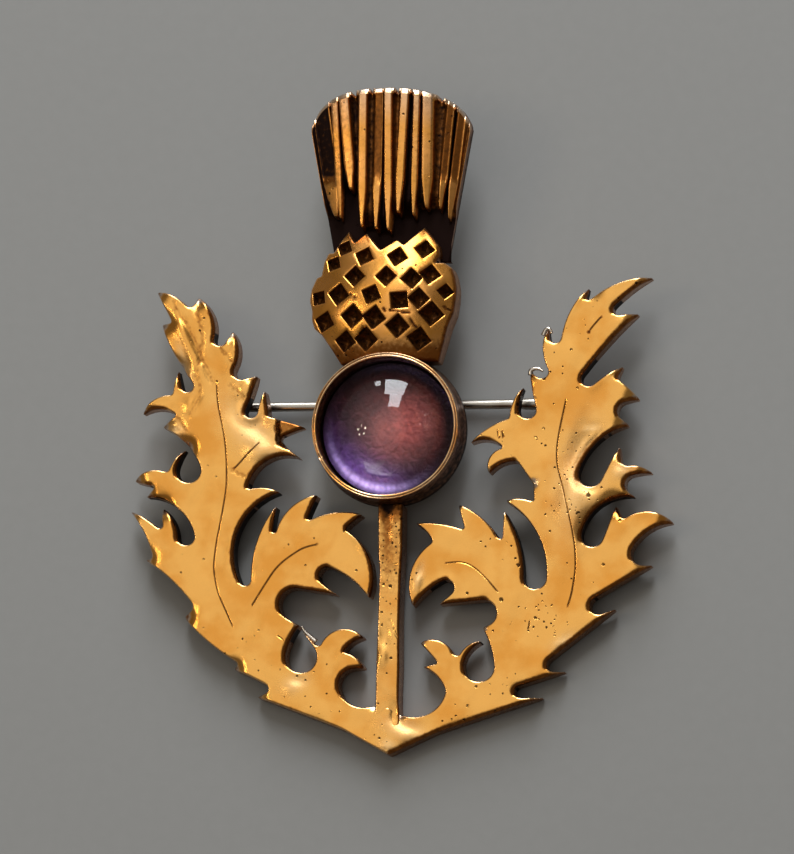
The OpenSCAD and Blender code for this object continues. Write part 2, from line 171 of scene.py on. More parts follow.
def even_line(points: Array, step: float, closed: bool = True) -> Array:
    """Points spread evenly along a line of straight pieces.

    Args:
        points: corners of the line.
        step: distance between the new points.
        closed: whether the last corner joins the first.

    Returns:
        The new points, without a doubled last one where the line is closed.
    """
    line = np.vstack([points, points[:1]]) if closed else points
    run = np.concatenate([[0.0], np.cumsum(np.linalg.norm(np.diff(line, axis=0), axis=1))])
    count = max(3, int(round(run[-1] / step)))
    at = np.linspace(0.0, run[-1], count, endpoint=not closed)
    return np.stack([np.interp(at, run, line[:, i]) for i in range(line.shape[1])], axis=1)


def soften(loop: Array, rounds: int) -> Array:
    """A closed line averaged with its neighbours: a quarter, a half and a quarter, some rounds.

    Args:
        loop: the closed line.
        rounds: how often.

    Returns:
        The averaged line.
    """
    for _ in range(rounds):
        loop = loop / 2 + (np.roll(loop, 1, axis=0) + np.roll(loop, -1, axis=0)) / 4
    return loop


def smooth_line(corners: Array, step: float = 0.2, rounds: int = 12) -> Array:
    """An open curve near the corners: even steps, averaged with their neighbours some rounds.

    Args:
        corners: the corners of the line.
        step: the distance between points.
        rounds: how often.

    Returns:
        The curve's points.
    """
    line = even_line(corners, step, closed=False)
    for _ in range(rounds):
        line[1:-1] = line[1:-1] / 2 + (line[:-2] + line[2:]) / 4
    return line


def blocks(count: int, others: int) -> list[Array]:
    """Indices up to the count in blocks, so that each block times the others fits in memory."""
    return np.array_split(np.arange(count), max(1, count * others // MOST_PAIRS))


def nearest(points: Array, starts: Array, ends: Array) -> tuple[Array, Array]:
    """Distance to the nearest of some straight pieces, and the foot of the way to it.

    Args:
        points: places, one row each.
        starts: first ends of the pieces.
        ends: last ends of the pieces.

    Returns:
        For each point the least distance and the nearest place on a piece.
    """
    best, feet = np.full(len(points), np.inf), np.zeros((len(points), 2))
    run = ends - starts
    square = np.maximum((run**2).sum(axis=1), 1e-12)
    for block in blocks(len(points), len(starts)):
        rel = points[block, None, :] - starts[None]
        part = np.clip((rel * run).sum(axis=2) / square, 0.0, 1.0)
        rel -= part[..., None] * run
        far = (rel**2).sum(axis=2)
        pick = far.argmin(axis=1)
        row = np.arange(len(block))
        best[block] = np.sqrt(far[row, pick])
        feet[block] = points[block] - rel[row, pick]
    return best, feet


def inside(points: Array, loop: Array) -> Array:
    """Whether each point lies in a closed line: the line crosses its level an odd number of times.

    Args:
        points: places to test.
        loop: the closed line.

    Returns:
        True or False for each point.
    """
    a, b = loop, np.roll(loop, -1, axis=0)
    result = np.zeros(len(points), bool)
    for block in blocks(len(points), len(loop)):
        px, py = points[block, 0:1], points[block, 1:2]
        spans = (a[:, 1] > py) != (b[:, 1] > py)
        rise = np.where(b[:, 1] == a[:, 1], 1e-12, b[:, 1] - a[:, 1])
        cross = a[:, 0] + (py - a[:, 1]) / rise * (b[:, 0] - a[:, 0])
        result[block] = (spans & (px < cross)).sum(axis=1) % 2 == 1
    return result


def net_inside(loop: Array, spacing: float, clear: float) -> Array:
    """Points of a triangular net in a closed line, every other row half a step over.

    Args:
        loop: the closed line.
        spacing: the distance between neighbours.
        clear: the least distance from the line.

    Returns:
        The net's points.
    """
    low, high = loop.min(axis=0), loop.max(axis=0)
    rows = np.arange(low[1], high[1], spacing * math.sqrt(3) / 2)
    x, y = np.meshgrid(np.arange(low[0], high[0], spacing), rows)
    x = x + (np.arange(len(rows)) % 2)[:, None] * spacing / 2
    net = np.stack([x.ravel(), y.ravel()], axis=1)
    net = net[inside(net, loop)]
    return net[nearest(net, loop, np.roll(loop, -1, axis=0))[0] > clear]


def thinned(points: Array, cell: float) -> Array:
    """The first point in each square cell of a net."""
    _, first = np.unique(np.round(points / cell).astype(np.int64), axis=0, return_index=True)
    return points[np.sort(first)]


def bells(p: Array, rows: Array) -> Array:
    """Heights of bells over ellipses at points.

    Args:
        p: places on the drawing.
        rows: x, y, reach along, reach across and turn in degrees of each bell.

    Returns:
        For each point and bell the height from 0 to 1: e to the power of minus the squares.
    """
    rel = p[:, None, :] - rows[None, :, :2]
    turn = way(np.radians(rows[:, 4]))
    along = (rel * turn).sum(axis=2) / rows[:, 2]
    across = (rel[..., 1] * turn[:, 0] - rel[..., 0] * turn[:, 1]) / rows[:, 3]
    return np.exp(-(along**2 + across**2))


def tilted(p: Array, rows: Array) -> Array:
    """Height that falls in X and Y across each bell, at the slope that mirrors the window."""
    rel = p[:, None, :] - rows[None, :, :2]
    return -(bells(p, rows) * (rel @ WINDOW_SLOPE)).sum(axis=1)


def cuts(p: Array, table: Table, height: float, half: float) -> Array:
    """Depth from 0 to 1 of straight cuts, given by the x and y of both their seen ends."""
    ends = LIE.seen(np.array(table).reshape(-1, 2), height)
    return fade(nearest(p, ends[::2], ends[1::2])[0], half)


# Meshes


def coat(patina_and_shade: Array, satin_and_glare: Array = 0, steel: Array = 0, pits: Array = 0) -> Array:
    """Columns of a finish: patina and painted shade, satin with a painted cream highlight, bare steel
    colour and share of pits, each 0 to 1.
    """
    parts = np.broadcast_arrays(patina_and_shade, satin_and_glare, steel, pits)
    return np.clip(np.stack(parts, axis=-1).astype(float), 0, 1)


def in_scene(name: str, data: bpy.types.ID) -> bpy.types.Object:
    """A new object in the scene that holds the data.

    Args:
        name: its name.
        data: the mesh, light or camera.

    Returns:
        The object.
    """
    made = bpy.data.objects.new(name, data)
    bpy.context.scene.collection.objects.link(made)
    return made


@dataclass
class Sheet:
    """A mesh in the flat drawing: vertices in mm, faces and the finish of each vertex."""

    points: Array
    quads: Array
    coat: Array
    triangles: Array = field(default_factory=lambda: np.zeros((0, 3), np.int64))
    caps: list[Array] = field(default_factory=list)
    sharp: Array | None = None

    def joined(self, other: "Sheet") -> "Sheet":
        """This mesh and another in one.

        Args:
            other: the other mesh.

        Returns:
            The joined mesh.
        """
        n = len(self.points)
        return Sheet(
            np.vstack([self.points, other.points]), np.vstack([self.quads, other.quads + n]),
            np.vstack([self.coat, other.coat]), np.vstack([self.triangles, other.triangles + n]),
            self.caps + [cap + n for cap in other.caps], self.sharp,
        )

    def moved(self, *move: float) -> "Sheet":
        """This mesh moved along X, Y and Z."""
        self.points = self.points + move
        return self

    def faced(self, *turn: Row) -> "Sheet":
        """This mesh turned by the rows of a matrix."""
        self.points = self.points @ np.array(turn, float).T
        return self

    def shown(self, name: str) -> bpy.types.Object:
        """The Blender object of this mesh, laid in the row frame, smooth, with its finish.

        Args:
            name: its name.

        Returns:
            The object.
        """
        sizes = [(self.triangles, 3), (self.quads, 4)] + [(c[None], len(c)) for c in self.caps]
        loops = np.concatenate([faces.ravel() for faces, _ in sizes]).astype(np.int32)
        lengths = np.concatenate([np.full(len(faces), n) for faces, n in sizes]).astype(np.int32)
        starts = np.concatenate([[0], np.cumsum(lengths)[:-1]]).astype(np.int32)
        mesh = bpy.data.meshes.new(name)
        mesh.vertices.add(len(self.points))
        mesh.vertices.foreach_set("co", LIE.metres(self.points).astype(np.float32).ravel())
        mesh.loops.add(len(loops))
        mesh.loops.foreach_set("vertex_index", loops)
        mesh.polygons.add(len(lengths))
        mesh.polygons.foreach_set("loop_start", starts)
        mesh.polygons.foreach_set("loop_total", lengths)
        mesh.polygons.foreach_set("use_smooth", np.ones(len(lengths), bool))
        mesh.update(calc_edges=True)
        finish = mesh.attributes.new("finish", "FLOAT_COLOR", "POINT")
        finish.data.foreach_set("color", self.coat.astype(np.float32).ravel())
        if self.sharp is not None:
            ends = np.zeros(len(mesh.edges) * 2, np.int32)
            mesh.edges.foreach_get("vertices", ends)
            ends = np.sort(ends.reshape(-1, 2), axis=1).astype(np.int64)
            total = len(self.points)
            hard = np.sort(self.sharp, axis=1)
            hit = np.isin(ends[:, 0] * total + ends[:, 1], hard[:, 0] * total + hard[:, 1])
            mesh.attributes.new("sharp_edge", "BOOLEAN", "EDGE").data.foreach_set("value", hit)
        mesh.validate()
        return in_scene(name, mesh)


def strip(first: Array, second: Array, closed: bool = True) -> Array:
    """Quads between two rows of vertices: each takes two neighbours of the first and the second."""
    quads = np.stack([first, second, np.roll(second, -1), np.roll(first, -1)], axis=1)
    return quads if closed else quads[:-1]


def woven(steps: int, size: int, around: bool = True, closed: bool = False) -> Array:
    """Quads of a grid of vertices, row by row.

    Args:
        steps: rows of the grid.
        size: vertices in a row.
        around: whether a row's last vertex joins its first.
        closed: whether the last row joins the first.

    Returns:
        Four vertex numbers for each quad.
    """
    ids = np.arange(steps * size).reshape(steps, size)
    following = np.roll(ids, -1, axis=0) if closed else ids[1:]
    return np.vstack([strip(a, b, around) for a, b in zip(ids, following)])


def cut_faces(points: Array, border: int) -> Array:
    """Triangles that fill a closed border and pass through the points inside it.

    Args:
        points: the border's points in order, then the points inside.
        border: how many of them are the border's.

    Returns:
        Triangles that turn to the left, so that they face up.
    """
    made = delaunay_2d_cdt(points.tolist(), [], [list(range(border))], 1, 1e-6)
    if len(made[0]) != len(points):
        raise ValueError(f"the fill has {len(made[0])} points and not {len(points)}")
    faces = np.array(made[2], np.int64)
    a, b, c = points[faces[:, 0]], points[faces[:, 1]], points[faces[:, 2]]
    turn = (b[:, 0] - a[:, 0]) * (c[:, 1] - a[:, 1]) - (b[:, 1] - a[:, 1]) * (c[:, 0] - a[:, 0])
    faces[turn < 0] = faces[turn < 0][:, ::-1]
    return faces


@dataclass(frozen=True)
class Casting:
    """A cast piece with a modelled front, walls all round and a plain back. Sizes in mm.

    An edge that faces the lower right, the shaded side, has a wide shoulder with painted shade, and any
    other a thin one.
    """

    spacing: float = 0.3
    thin_r: float = 0.15
    wide_r: float = 0.42
    shade_way_deg: float = -38
    # Painted shade on shoulders that face the lower right
    shoulder_shade: float = 0.62
    back_spacing: float = 1.6
    rows: Row = (0.03, 0.08, 0.15, 0.24, 0.34, 0.48)
    wall_levels: Row = (0.03, 0.15, 0.45, 0.75, 1.0)
    probes: Row = (0.8, 1.6, 2.6)
    # Bare rim, and least distances of the front's points
    rim_w: float = 0.04
    rim_fade: float = 0.1
    mark_off_edge: float = 0.05
    row_off_mark: float = 0.04
    net_off_rows: float = 0.12
    least_step: float = 0.025
    # Painted shade of hidden walls, patina of the back, and satin of walls and back
    hidden_wall_shade: float = 0.93
    back_patina: float = 0.5
    wall_satin: float = 0.3
    back_satin: float = 0.4

    @staticmethod
    def outward(loop: Array) -> Array:
        """Unit normals of a closed line that turns to the left, away from its inside."""
        return aside(np.roll(loop, -1, axis=0) - np.roll(loop, 1, axis=0))

    def front_points(self, loop: Array, marks: Array) -> tuple[Array, Array, Array]:
        """Points of the front, their distance from the edge and the way out to it.

        Args:
            loop: the outline, turning to the left.
            marks: points that the surface passes through, such as those beside a groove.

        Returns:
            The outline, then rows along it, the marks and a net; distances; unit ways outwards.
        """
        ends = np.roll(loop, -1, axis=0)
        out = self.outward(loop)
        rows = np.vstack([loop - out * k for k in self.rows])
        wanted = np.repeat(self.rows, len(loop))
        rows = rows[(nearest(rows, loop, ends)[0] > 0.93 * wanted) & inside(rows, loop)]
        net = net_inside(loop, self.spacing, self.rows[-1] + self.net_off_rows)
        if len(marks):
            marks = marks[inside(marks, loop)]
            marks = marks[nearest(marks, loop, ends)[0] > self.mark_off_edge]
            rows = rows[nearest(rows, marks, marks)[0] > self.row_off_mark]
            net = net[nearest(net, marks, marks)[0] > 0.5 * self.spacing]
        inner = thinned(np.vstack([marks.reshape(-1, 2), rows, net]), self.least_step)
        away, foot = nearest(inner, loop, ends)
        side = (foot - inner) / np.maximum(away, 1e-9)[:, None]
        points = np.vstack([loop, inner])
        return points, np.concatenate([np.zeros(len(loop)), away]), np.vstack([out, side])

    def shade_side(self, out: Array) -> Array:
        """How much an edge faces the shaded lower right, from 0 to 1."""
        return ease((out @ way(np.radians(self.shade_way_deg)) - 0.05) / 0.6)

    def rounded(self, away: Array, out: Array) -> Array:
        """Drop of the front near an edge: a quarter circle of that edge's radius."""
        radius = self.thin_r + (self.wide_r - self.thin_r) * self.shade_side(out)
        return radius * (1.0 - np.sqrt(1.0 - fade(away, radius) ** 2))

    def bare_rim(self, away: Array) -> Array:
        """Share of bare metal, 1 along the very edge and 0 where the rim has faded out."""
        return 1.0 - ease((away - self.rim_w) / self.rim_fade)

    def make(self, loop: Array, marks: Array, front: Height, low: float, finish: Height) -> Sheet:
        """The closed piece.

        Args:
            loop: the outline, turning to the left.
            marks: points that the front passes through.
            front: the front's height, from places and their distance from the edge.
            low: the back's height.
            finish: the coat of the front, from the same.

        Returns:
            The mesh, with walls that drop straight from the outline to the back. A wall has painted
            shade where other metal stands close in front of it, and is golden brown elsewhere.
            Shoulders that face the lower right have painted shade too.
        """
        points, away, out = self.front_points(loop, marks)
        n = len(loop)
        top = front(points, away) - self.rounded(away, out)
        face = cut_faces(points, n)
        cover = finish(points, away)
        # Painted shade: the shoulder of an edge that faces the lower right is darkened.
        shoulder = self.shade_side(out) * ease(1.25 - away / self.wide_r)
        cover[:, 0] = np.maximum(cover[:, 0], self.shoulder_shade * shoulder)
        coarse = loop[::4]
        hidden = np.max([inside(loop + out[:n] * far, coarse) for far in self.probes], axis=0)
        vertices, coats = [np.column_stack([points, top])], [cover]
        rims, count = [np.arange(n)], len(points)
        for level in self.wall_levels:
            vertices.append(np.column_stack([loop, top[:n] + (low - top[:n]) * level]))
            open_patina = 0.36 + 0.3 * abs(level - 0.3)
            # Painted shade on walls with other metal close in front of them
            patina_and_shade = np.where(hidden, self.hidden_wall_shade, open_patina)
            coats.append(coat(patina_and_shade, self.wall_satin))
            rims.append(np.arange(count, count + n))
            count += n
        walls = np.vstack([strip(a, b) for a, b in zip(rims[:-1], rims[1:])])
        net = net_inside(loop, self.back_spacing, 0.4 * self.back_spacing)
        under = cut_faces(np.vstack([loop, net]), n)[:, ::-1]
        ids = np.concatenate([rims[-1], np.arange(count, count + len(net))])
        vertices.append(np.column_stack([net, np.full(len(net), low)]))
        coats.append(coat(np.full(len(net), self.back_patina), self.back_satin))
        return Sheet(np.vstack(vertices), walls, np.vstack(coats), np.vstack([face, ids[under]]),
                     sharp=np.stack([rims[-1], np.roll(rims[-1], -1)], axis=1))


def turned(profile: Array, finish: Array, count: int, wobble: Height | None = None) -> Sheet:
    """A profile turned about Z.

    Args:
        profile: radius and height of its points, from the top middle to the bottom middle.
        finish: coat of each point.
        count: steps round the turn.
        wobble: added height of each point, from its angle and its radius.

    Returns:
        A closed mesh whose first and last points are its two poles.
    """
    angles, radius = np.meshgrid(full_turn(count), profile[1:-1, 0])
    z = np.repeat(profile[1:-1, 1:2], count, axis=1)
    if wobble is not None:
        z = z + wobble(angles, radius)
    rings = np.stack([radius * np.cos(angles), radius * np.sin(angles), z], axis=2)
    size = len(rings)
    poles = np.array([[0, 0, profile[0, 1]], [0, 0, profile[-1, 1]]])
    first, last = np.arange(count), np.arange(count) + (size - 1) * count
    top = np.stack([np.full(count, size * count), first, np.roll(first, -1)], axis=1)
    low = np.stack([np.full(count, size * count + 1), np.roll(last, -1), last], axis=1)
    coats = np.vstack([np.repeat(finish[1:-1], count, axis=0), finish[[0, -1]]])
    vertices = np.vstack([rings.reshape(-1, 3), poles])
    return Sheet(vertices, woven(size, count), coats, np.vstack([top, low]))


def carried(rows: Array, finish: Array) -> Sheet:
    """A closed section carried along a way, with flat ends.

    Args:
        rows: for each step of the way, the section's points in order.
        finish: one coat for the piece, or one for each step.

    Returns:
        The mesh, with quads between neighbouring sections and one cap at each end.
    """
    steps, size = rows.shape[:2]
    coats = np.repeat(np.broadcast_to(finish, (steps, 4)), size, axis=0)
    first = np.arange(size)
    caps = [first, (first + (steps - 1) * size)[::-1]]
    return Sheet(rows.reshape(-1, 3), woven(steps, size), coats, caps=caps)


def horn(path: Array, radii: Array, finish: Array) -> Sheet:
    """A round horn carried along a path.

    Args:
        path: the path's points.
        radii: the horn's radius at each point.
        finish: coat of the horn.

    Returns:
        The mesh. A section's point is the path's point, plus the radius times the cosine of its
        angle to the side and its sine upwards.
    """
    side = np.column_stack([aside(np.gradient(path, axis=0)), np.zeros(len(path))])
    angle = full_turn(HORN_SIDES)[None, :, None]
    spread = np.cos(angle) * side[:, None] + np.sin(angle) * np.array([0.0, 0.0, 1.0])
    return carried(path[:, None] + spread * radii[:, None, None], finish)


def soft_box(wave: Array, push: float, half: float, soft: float) -> Array:
    """One coordinate of a rectangle with round corners, from the cosine or sine of its angle."""
    return np.clip(wave * push, soft - half, half - soft) + soft * wave


# Finishes


class Nodes:
    """Short calls to add and join nodes in one tree."""

    def __init__(self, tree: bpy.types.NodeTree) -> None:
        """Keeps the tree that nodes are added to."""
        self.tree = tree

    def put(self, value: object, socket: Socket) -> None:
        """Joins another node's output to a socket, or sets the socket to a plain value.

        Args:
            value: the value or output.
            socket: the input.
        """
        if isinstance(value, Socket):
            self.tree.links.new(value, socket)
        else:
            socket.default_value = value

    def add(
        self, kind: str, settings: dict[str, object] | None = None, **inputs: object
    ) -> bpy.types.Node:
        """A node of a kind.

        Args:
            kind: the node's name in Blender, without the prefix of shader nodes.
            settings: properties of the node.
            inputs: values or outputs for its sockets, by name, with _ for each space.

        Returns:
            The node.
        """
        node = self.tree.nodes.new(kind if kind.startswith("Node") else "ShaderNode" + kind)
        for key, value in (settings or {}).items():
            setattr(node, key, value)
        for key, value in inputs.items():
            self.put(value, node.inputs[key.replace("_", " ")])
        return node

    def math(self, operation: str, *values: object) -> Socket:
        """The result of one sum on two or three values.

        Args:
            operation: the sum's name in Blender.
            values: numbers or outputs.

        Returns:
            The result.
        """
        node = self.add("Math", {"operation": operation})
        for value, socket in zip(values, node.inputs):
            self.put(value, socket)
        return node.outputs[0]

    def step(self, value: object, low: object, high: object) -> Socket:
        """0 at low and 1 at high, smooth between them."""
        return self.add("MapRange", {"interpolation_type": "SMOOTHSTEP"}, Value=value,
                        From_Min=low, From_Max=high).outputs["Result"]

    def times(self, value: object, factor: object) -> Socket:
        """A value times a factor."""
        return self.math("MULTIPLY", value, factor)

    def scaled(self, value: object, factor: object, plus: object) -> Socket:
        """A value times a factor, plus another value."""
        return self.math("MULTIPLY_ADD", value, factor, plus)

    def mix(self, part: object, first: object, second: object) -> Socket:
        """A colour between two colours.

        Args:
            part: share of the second.
            first: the first colour.
            second: the second colour.

        Returns:
            The colour.
        """
        node = self.add("Mix", {"data_type": "RGBA"})
        for index, value in ((0, part), (6, first), (7, second)):
            self.put(value, node.inputs[index])
        return node.outputs[2]

    def noise(self, place: object, scale: object, detail: float = 2.0) -> Socket:
        """The value of a noise at a place."""
        return self.add("TexNoise", Vector=place, Scale=scale, Detail=detail).outputs["Fac"]

    def painted(self, name: str) -> Sockets:
        """The outputs of one of the mesh's own attributes."""
        return self.add("Attribute", {"attribute_name": name}).outputs

    def parts(self, color: object) -> Sockets:
        """The red, green and blue of a colour."""
        return self.add("SeparateColor", Color=color).outputs

    def effect(self, group: bpy.types.NodeTree, place: object, **inputs: object) -> Sockets:
        """The outputs of a shared effect at a place."""
        return self.add("Group", {"node_tree": group}, Coordinate=place, **inputs).outputs

    def relief(self, height: object, shader: Sockets) -> None:
        """Joins a height in mm to the shader's normal as a bump."""
        bump = self.add("Bump", Height=height, Distance=MM)
        self.put(bump.outputs["Normal"], shader["Normal"])


def new_group(
    name: str, inputs: dict[str, object], outputs: dict[str, str]
) -> tuple[bpy.types.NodeTree, Nodes, Sockets, Sockets]:
    """A shader node group with named sockets.

    Args:
        name: the group's name.
        inputs: standard value of each input: a number, a colour, or None for a vector.
        outputs: kind of each output, by name.

    Returns:
        The group's tree, its Nodes, its input sockets and its output sockets, by name.
    """
    tree = bpy.data.node_groups.new(name, "ShaderNodeTree")
    for title, value in inputs.items():
        kind = "Vector" if value is None else "Float" if isinstance(value, float) else "Color"
        socket = tree.interface.new_socket(
            name=title, in_out="INPUT", socket_type="NodeSocket" + kind
        )
        if value is not None:
            socket.default_value = value
    for title, kind in outputs.items():
        tree.interface.new_socket(name=title, in_out="OUTPUT", socket_type="NodeSocket" + kind)
    nodes = Nodes(tree)
    return tree, nodes, nodes.add("NodeGroupInput").outputs, nodes.add("NodeGroupOutput").inputs


class Effects:
    """The shared effects: cast pits, hand-polished grain and patina, which also darkens painted shade.
    Each is built once.
    """

    def __init__(self) -> None:
        """Builds the three groups."""
        self.pits = self._pits()
        self.grain = self._grain()
        self.patina_and_shade = self._patina()

    @staticmethod
    def _pits() -> bpy.types.NodeTree:
        """Ragged pits: one at most in each cell of a random net, where the cell is chosen.

        Returns:
            The group. Its Mask is 1 in a pit and 0 outside.
        """
        tree, n, given, out = new_group(
            "cast_pits",
            {"Coordinate": None, "Cells": 2000.0, "Share": 0.2, "Ragged": 0.00012},
            {"Mask": "Float"},
        )
        ragged = n.add("TexNoise", Vector=given["Coordinate"], Scale=9000.0, Detail=1.0)
        shift = n.add("VectorMath", {"operation": "SCALE"}, Vector=ragged.outputs["Color"],
                      Scale=given["Ragged"])
        place = n.add("VectorMath", {"operation": "ADD"})
        n.put(given["Coordinate"], place.inputs[0])
        n.put(shift.outputs[0], place.inputs[1])
        cells = n.add("TexVoronoi", Vector=place.outputs[0], Scale=given["Cells"])
        parts = n.parts(cells.outputs["Color"])
        chosen = n.math("LESS_THAN", parts[0], given["Share"])
        size = n.scaled(parts[1], 0.22, 0.13)
        edge = n.step(cells.outputs["Distance"], n.times(size, 0.6), size)
        n.put(n.times(n.math("SUBTRACT", 1.0, edge), chosen), out["Mask"])
        return tree

    @staticmethod
    def _grain() -> bpy.types.NodeTree:
        """Fine and broad unevenness of hand-polished metal, from two noises.

        Returns:
            The group, with a Fine height, a Broad height and a Mottle between 0 and 1.
        """
        tree, n, given, out = new_group(
            "polish_grain", {"Coordinate": None, "Fine Scale": 7000.0, "Broad Scale": 380.0},
            {"Fine": "Float", "Broad": "Float", "Mottle": "Float"},
        )
        fine = n.noise(given["Coordinate"], given["Fine Scale"], 3.0)
        broad = n.noise(given["Coordinate"], given["Broad Scale"])
        both = n.scaled(fine, 0.45, n.times(broad, 0.55))
        n.put(fine, out["Fine"])
        n.put(broad, out["Broad"])
        n.put(n.step(both, 0.36, 0.64), out["Mottle"])
        return tree

    @staticmethod
    def _patina() -> bpy.types.NodeTree:
        """Dark oxide in hollows and on walls, and painted shade where the amount carries it, with a
        broken border.

        Returns:
            The group, with the metal's Color and the Cover of the oxide between 0 and 1.
        """
        tree, n, given, out = new_group(
            "patina_and_shade",
            {"Coordinate": None, "Amount": 0.0, "Metal": (1, 1, 1, 1), "Warm": (1, 1, 1, 1),
             "Oxide": (0, 0, 0, 1), "Break Scale": 2600.0},
            {"Color": "Color", "Cover": "Float"},
        )
        shift = n.math("SUBTRACT", n.noise(given["Coordinate"], given["Break Scale"], 4.0), 0.5)
        reach = n.step(given["Amount"], 0.0, 0.2)
        level = n.scaled(n.times(shift, 0.6), reach, given["Amount"])
        warmed = n.mix(n.step(level, 0.08, 0.5), given["Metal"], given["Warm"])
        cover = n.step(level, 0.45, 0.9)
        n.put(n.mix(cover, warmed, given["Oxide"]), out["Color"])
        n.put(cover, out["Cover"])
        return tree


def new_material(
    name: str
) -> tuple[Material, Nodes, Sockets, Socket]:
    """A material with its node helper, its shader's input sockets and its Object place.

    Args:
        name: its name.

    Returns:
        The material, its nodes, the shader's inputs and the place.
    """
    material = bpy.data.materials.new(name)
    material.use_nodes = True
    n = Nodes(material.node_tree)
    shader = material.node_tree.nodes["Principled BSDF"].inputs
    return material, n, shader, n.add("TexCoord").outputs["Object"]


@dataclass(frozen=True)
class CastGold:
    """Polished cast metal with dark hollows. Colours are linear, lengths in mm."""

    name: str
    metal: Row = (0.86, 0.45, 0.11, 1.0)
    deep: Row = (0.77, 0.34, 0.06, 1.0)
    # Painted highlight colour, mixed in where the satin column is set
    glare_cream: Row = (0.92, 0.72, 0.42, 1.0)
    warm: Row = (0.3, 0.105, 0.02, 1.0)
    oxide: Row = (0.010, 0.004, 0.003, 1.0)
    steel: Row = (0.62, 0.57, 0.5, 1.0)
    pit_share: float = 0.03
    small_cell: float = 0.38
    large_cell: float = 0.75
    shine: float = 0.2
    dull: float = 0.45
    fine_bump: float = 0.005
    gloss: float = 0.06
    broad_bump: float = 0.04
    pit_depth: float = 0.035
    # Shares of the other colours where their part of the coat is full, and of oxide in pits
    glare_cream_share: float = 0.45
    steel_share: float = 0.95
    pit_oxide: float = 0.9
    # What pits, satin and patina add where they are full
    small_pits: float = 0.62
    large_pits: float = 0.4
    mottle_rough: float = 0.07
    satin_rough: float = 0.2
    satin_bump: float = 0.007
    oxide_metal: float = 0.45

    def made(self, effects: Effects) -> Material:
        """The finish as a material: the coat gives the colour, grain and pits the height.

        Args:
            effects: the shared node groups.

        Returns:
            The material.
        """
        material, n, shader, place = new_material(self.name)
        given = n.painted("finish")
        darkening, satin_and_glare, steel = n.parts(given["Color"])
        grain = n.effect(effects.grain, place)
        tone = n.mix(n.step(n.noise(place, 300.0, 3.0), 0.38, 0.66), self.metal, self.deep)
        uneven = n.scaled(n.step(grain["Fine"], 0.38, 0.62), 0.35, 0.65)
        speckle = n.times(satin_and_glare, uneven)
        # Painted highlight: cream mixed in by the satin column, strongest at the glares
        tone = n.mix(n.times(speckle, self.glare_cream_share), tone, self.glare_cream)
        tone = n.mix(n.times(steel, self.steel_share), tone, self.steel)
        patina_and_shade = n.effect(effects.patina_and_shade, place, Amount=darkening, Metal=tone, Warm=self.warm,
                          Oxide=self.oxide)
        masks = []
        for cell, most, least in ((self.small_cell, self.small_pits, self.pit_share),
                                  (self.large_cell, self.large_pits, self.pit_share * 0.4)):
            share = n.scaled(given["Alpha"], most, least)
            masks.append(n.effect(effects.pits, place, Cells=1.0 / (cell * MM), Share=share)["Mask"])
        holes = n.math("MAXIMUM", *masks)
        n.put(n.mix(n.times(holes, self.pit_oxide), patina_and_shade["Color"], self.oxide), shader["Base Color"])
        shader["Specular IOR Level"].default_value = self.gloss
        n.put(n.scaled(patina_and_shade["Cover"], self.oxide_metal - 1.0, 1.0), shader["Metallic"])
        rough = n.scaled(grain["Mottle"], self.mottle_rough, self.shine)
        rough = n.scaled(patina_and_shade["Cover"], self.dull - self.shine, rough)
        n.put(n.scaled(speckle, self.satin_rough, rough), shader["Roughness"])
        fine = n.times(n.scaled(satin_and_glare, self.satin_bump, self.fine_bump), grain["Fine"])
        height = n.scaled(grain["Broad"], self.broad_bump, fine)
        n.relief(n.scaled(holes, -self.pit_depth, height), shader)
        return material


@dataclass(frozen=True)
class DrawnSteel:
    """Drawn wire with fine marks along it."""

    name: str = "pin_steel"
    color: Row = (0.42, 0.39, 0.34, 1.0)
    stain: Row = (0.16, 0.11, 0.06, 1.0)
    rough: float = 0.2
    uneven: float = 0.16
    mark_depth: float = 0.006

    def made(self, effects: Effects) -> Material:
        """The finish as a material: noise that is stretched along X gives the draw marks.

        Args:
            effects: the shared node groups.

        Returns:
            The material.
        """
        material, n, shader, place = new_material(self.name)
        grain = n.effect(effects.grain, place)
        stretched = n.add("Mapping", Vector=place, Scale=(0.04, 1.0, 1.0))
        marks = n.noise(stretched.outputs["Vector"], 9000.0)
        spots = n.times(n.step(grain["Broad"], 0.5, 0.75), 0.6)
        n.put(n.mix(spots, self.color, self.stain), shader["Base Color"])
        shader["Metallic"].default_value = 1.0
        n.put(n.scaled(marks, self.uneven, self.rough), shader["Roughness"])
        n.relief(n.times(marks, self.mark_depth), shader)
        return material


@dataclass(frozen=True)
class StoneGlass:
    """Clear glass with a high polish and a slight tint."""

    name: str = "violet_glass"
    color: Row = (0.9, 0.8, 0.86, 1.0)
    tint: Row = (0.84, 0.72, 0.81, 1.0)
    index: float = 1.5
    polish: float = 0.012
    ground: float = 0.16
    wave: float = 0.015

    def made(self, effects: Effects) -> Material:
        """The finish as a material: a slight unevenness bends its gloss. Its back is ground.

        Args:
            effects: the shared node groups.

        Returns:
            The material.
        """
        material, n, shader, place = new_material(self.name)
        grain = n.effect(effects.grain, place)
        n.put(n.mix(grain["Mottle"], self.color, self.tint), shader["Base Color"])
        shader["Metallic"].default_value = 0.0
        shader["Transmission Weight"].default_value = 1.0
        shader["IOR"].default_value = self.index
        ground = n.parts(n.painted("finish")["Color"])[0]
        n.put(n.scaled(ground, self.ground, self.polish), shader["Roughness"])
        n.relief(n.times(grain["Broad"], self.wave), shader)
        return material


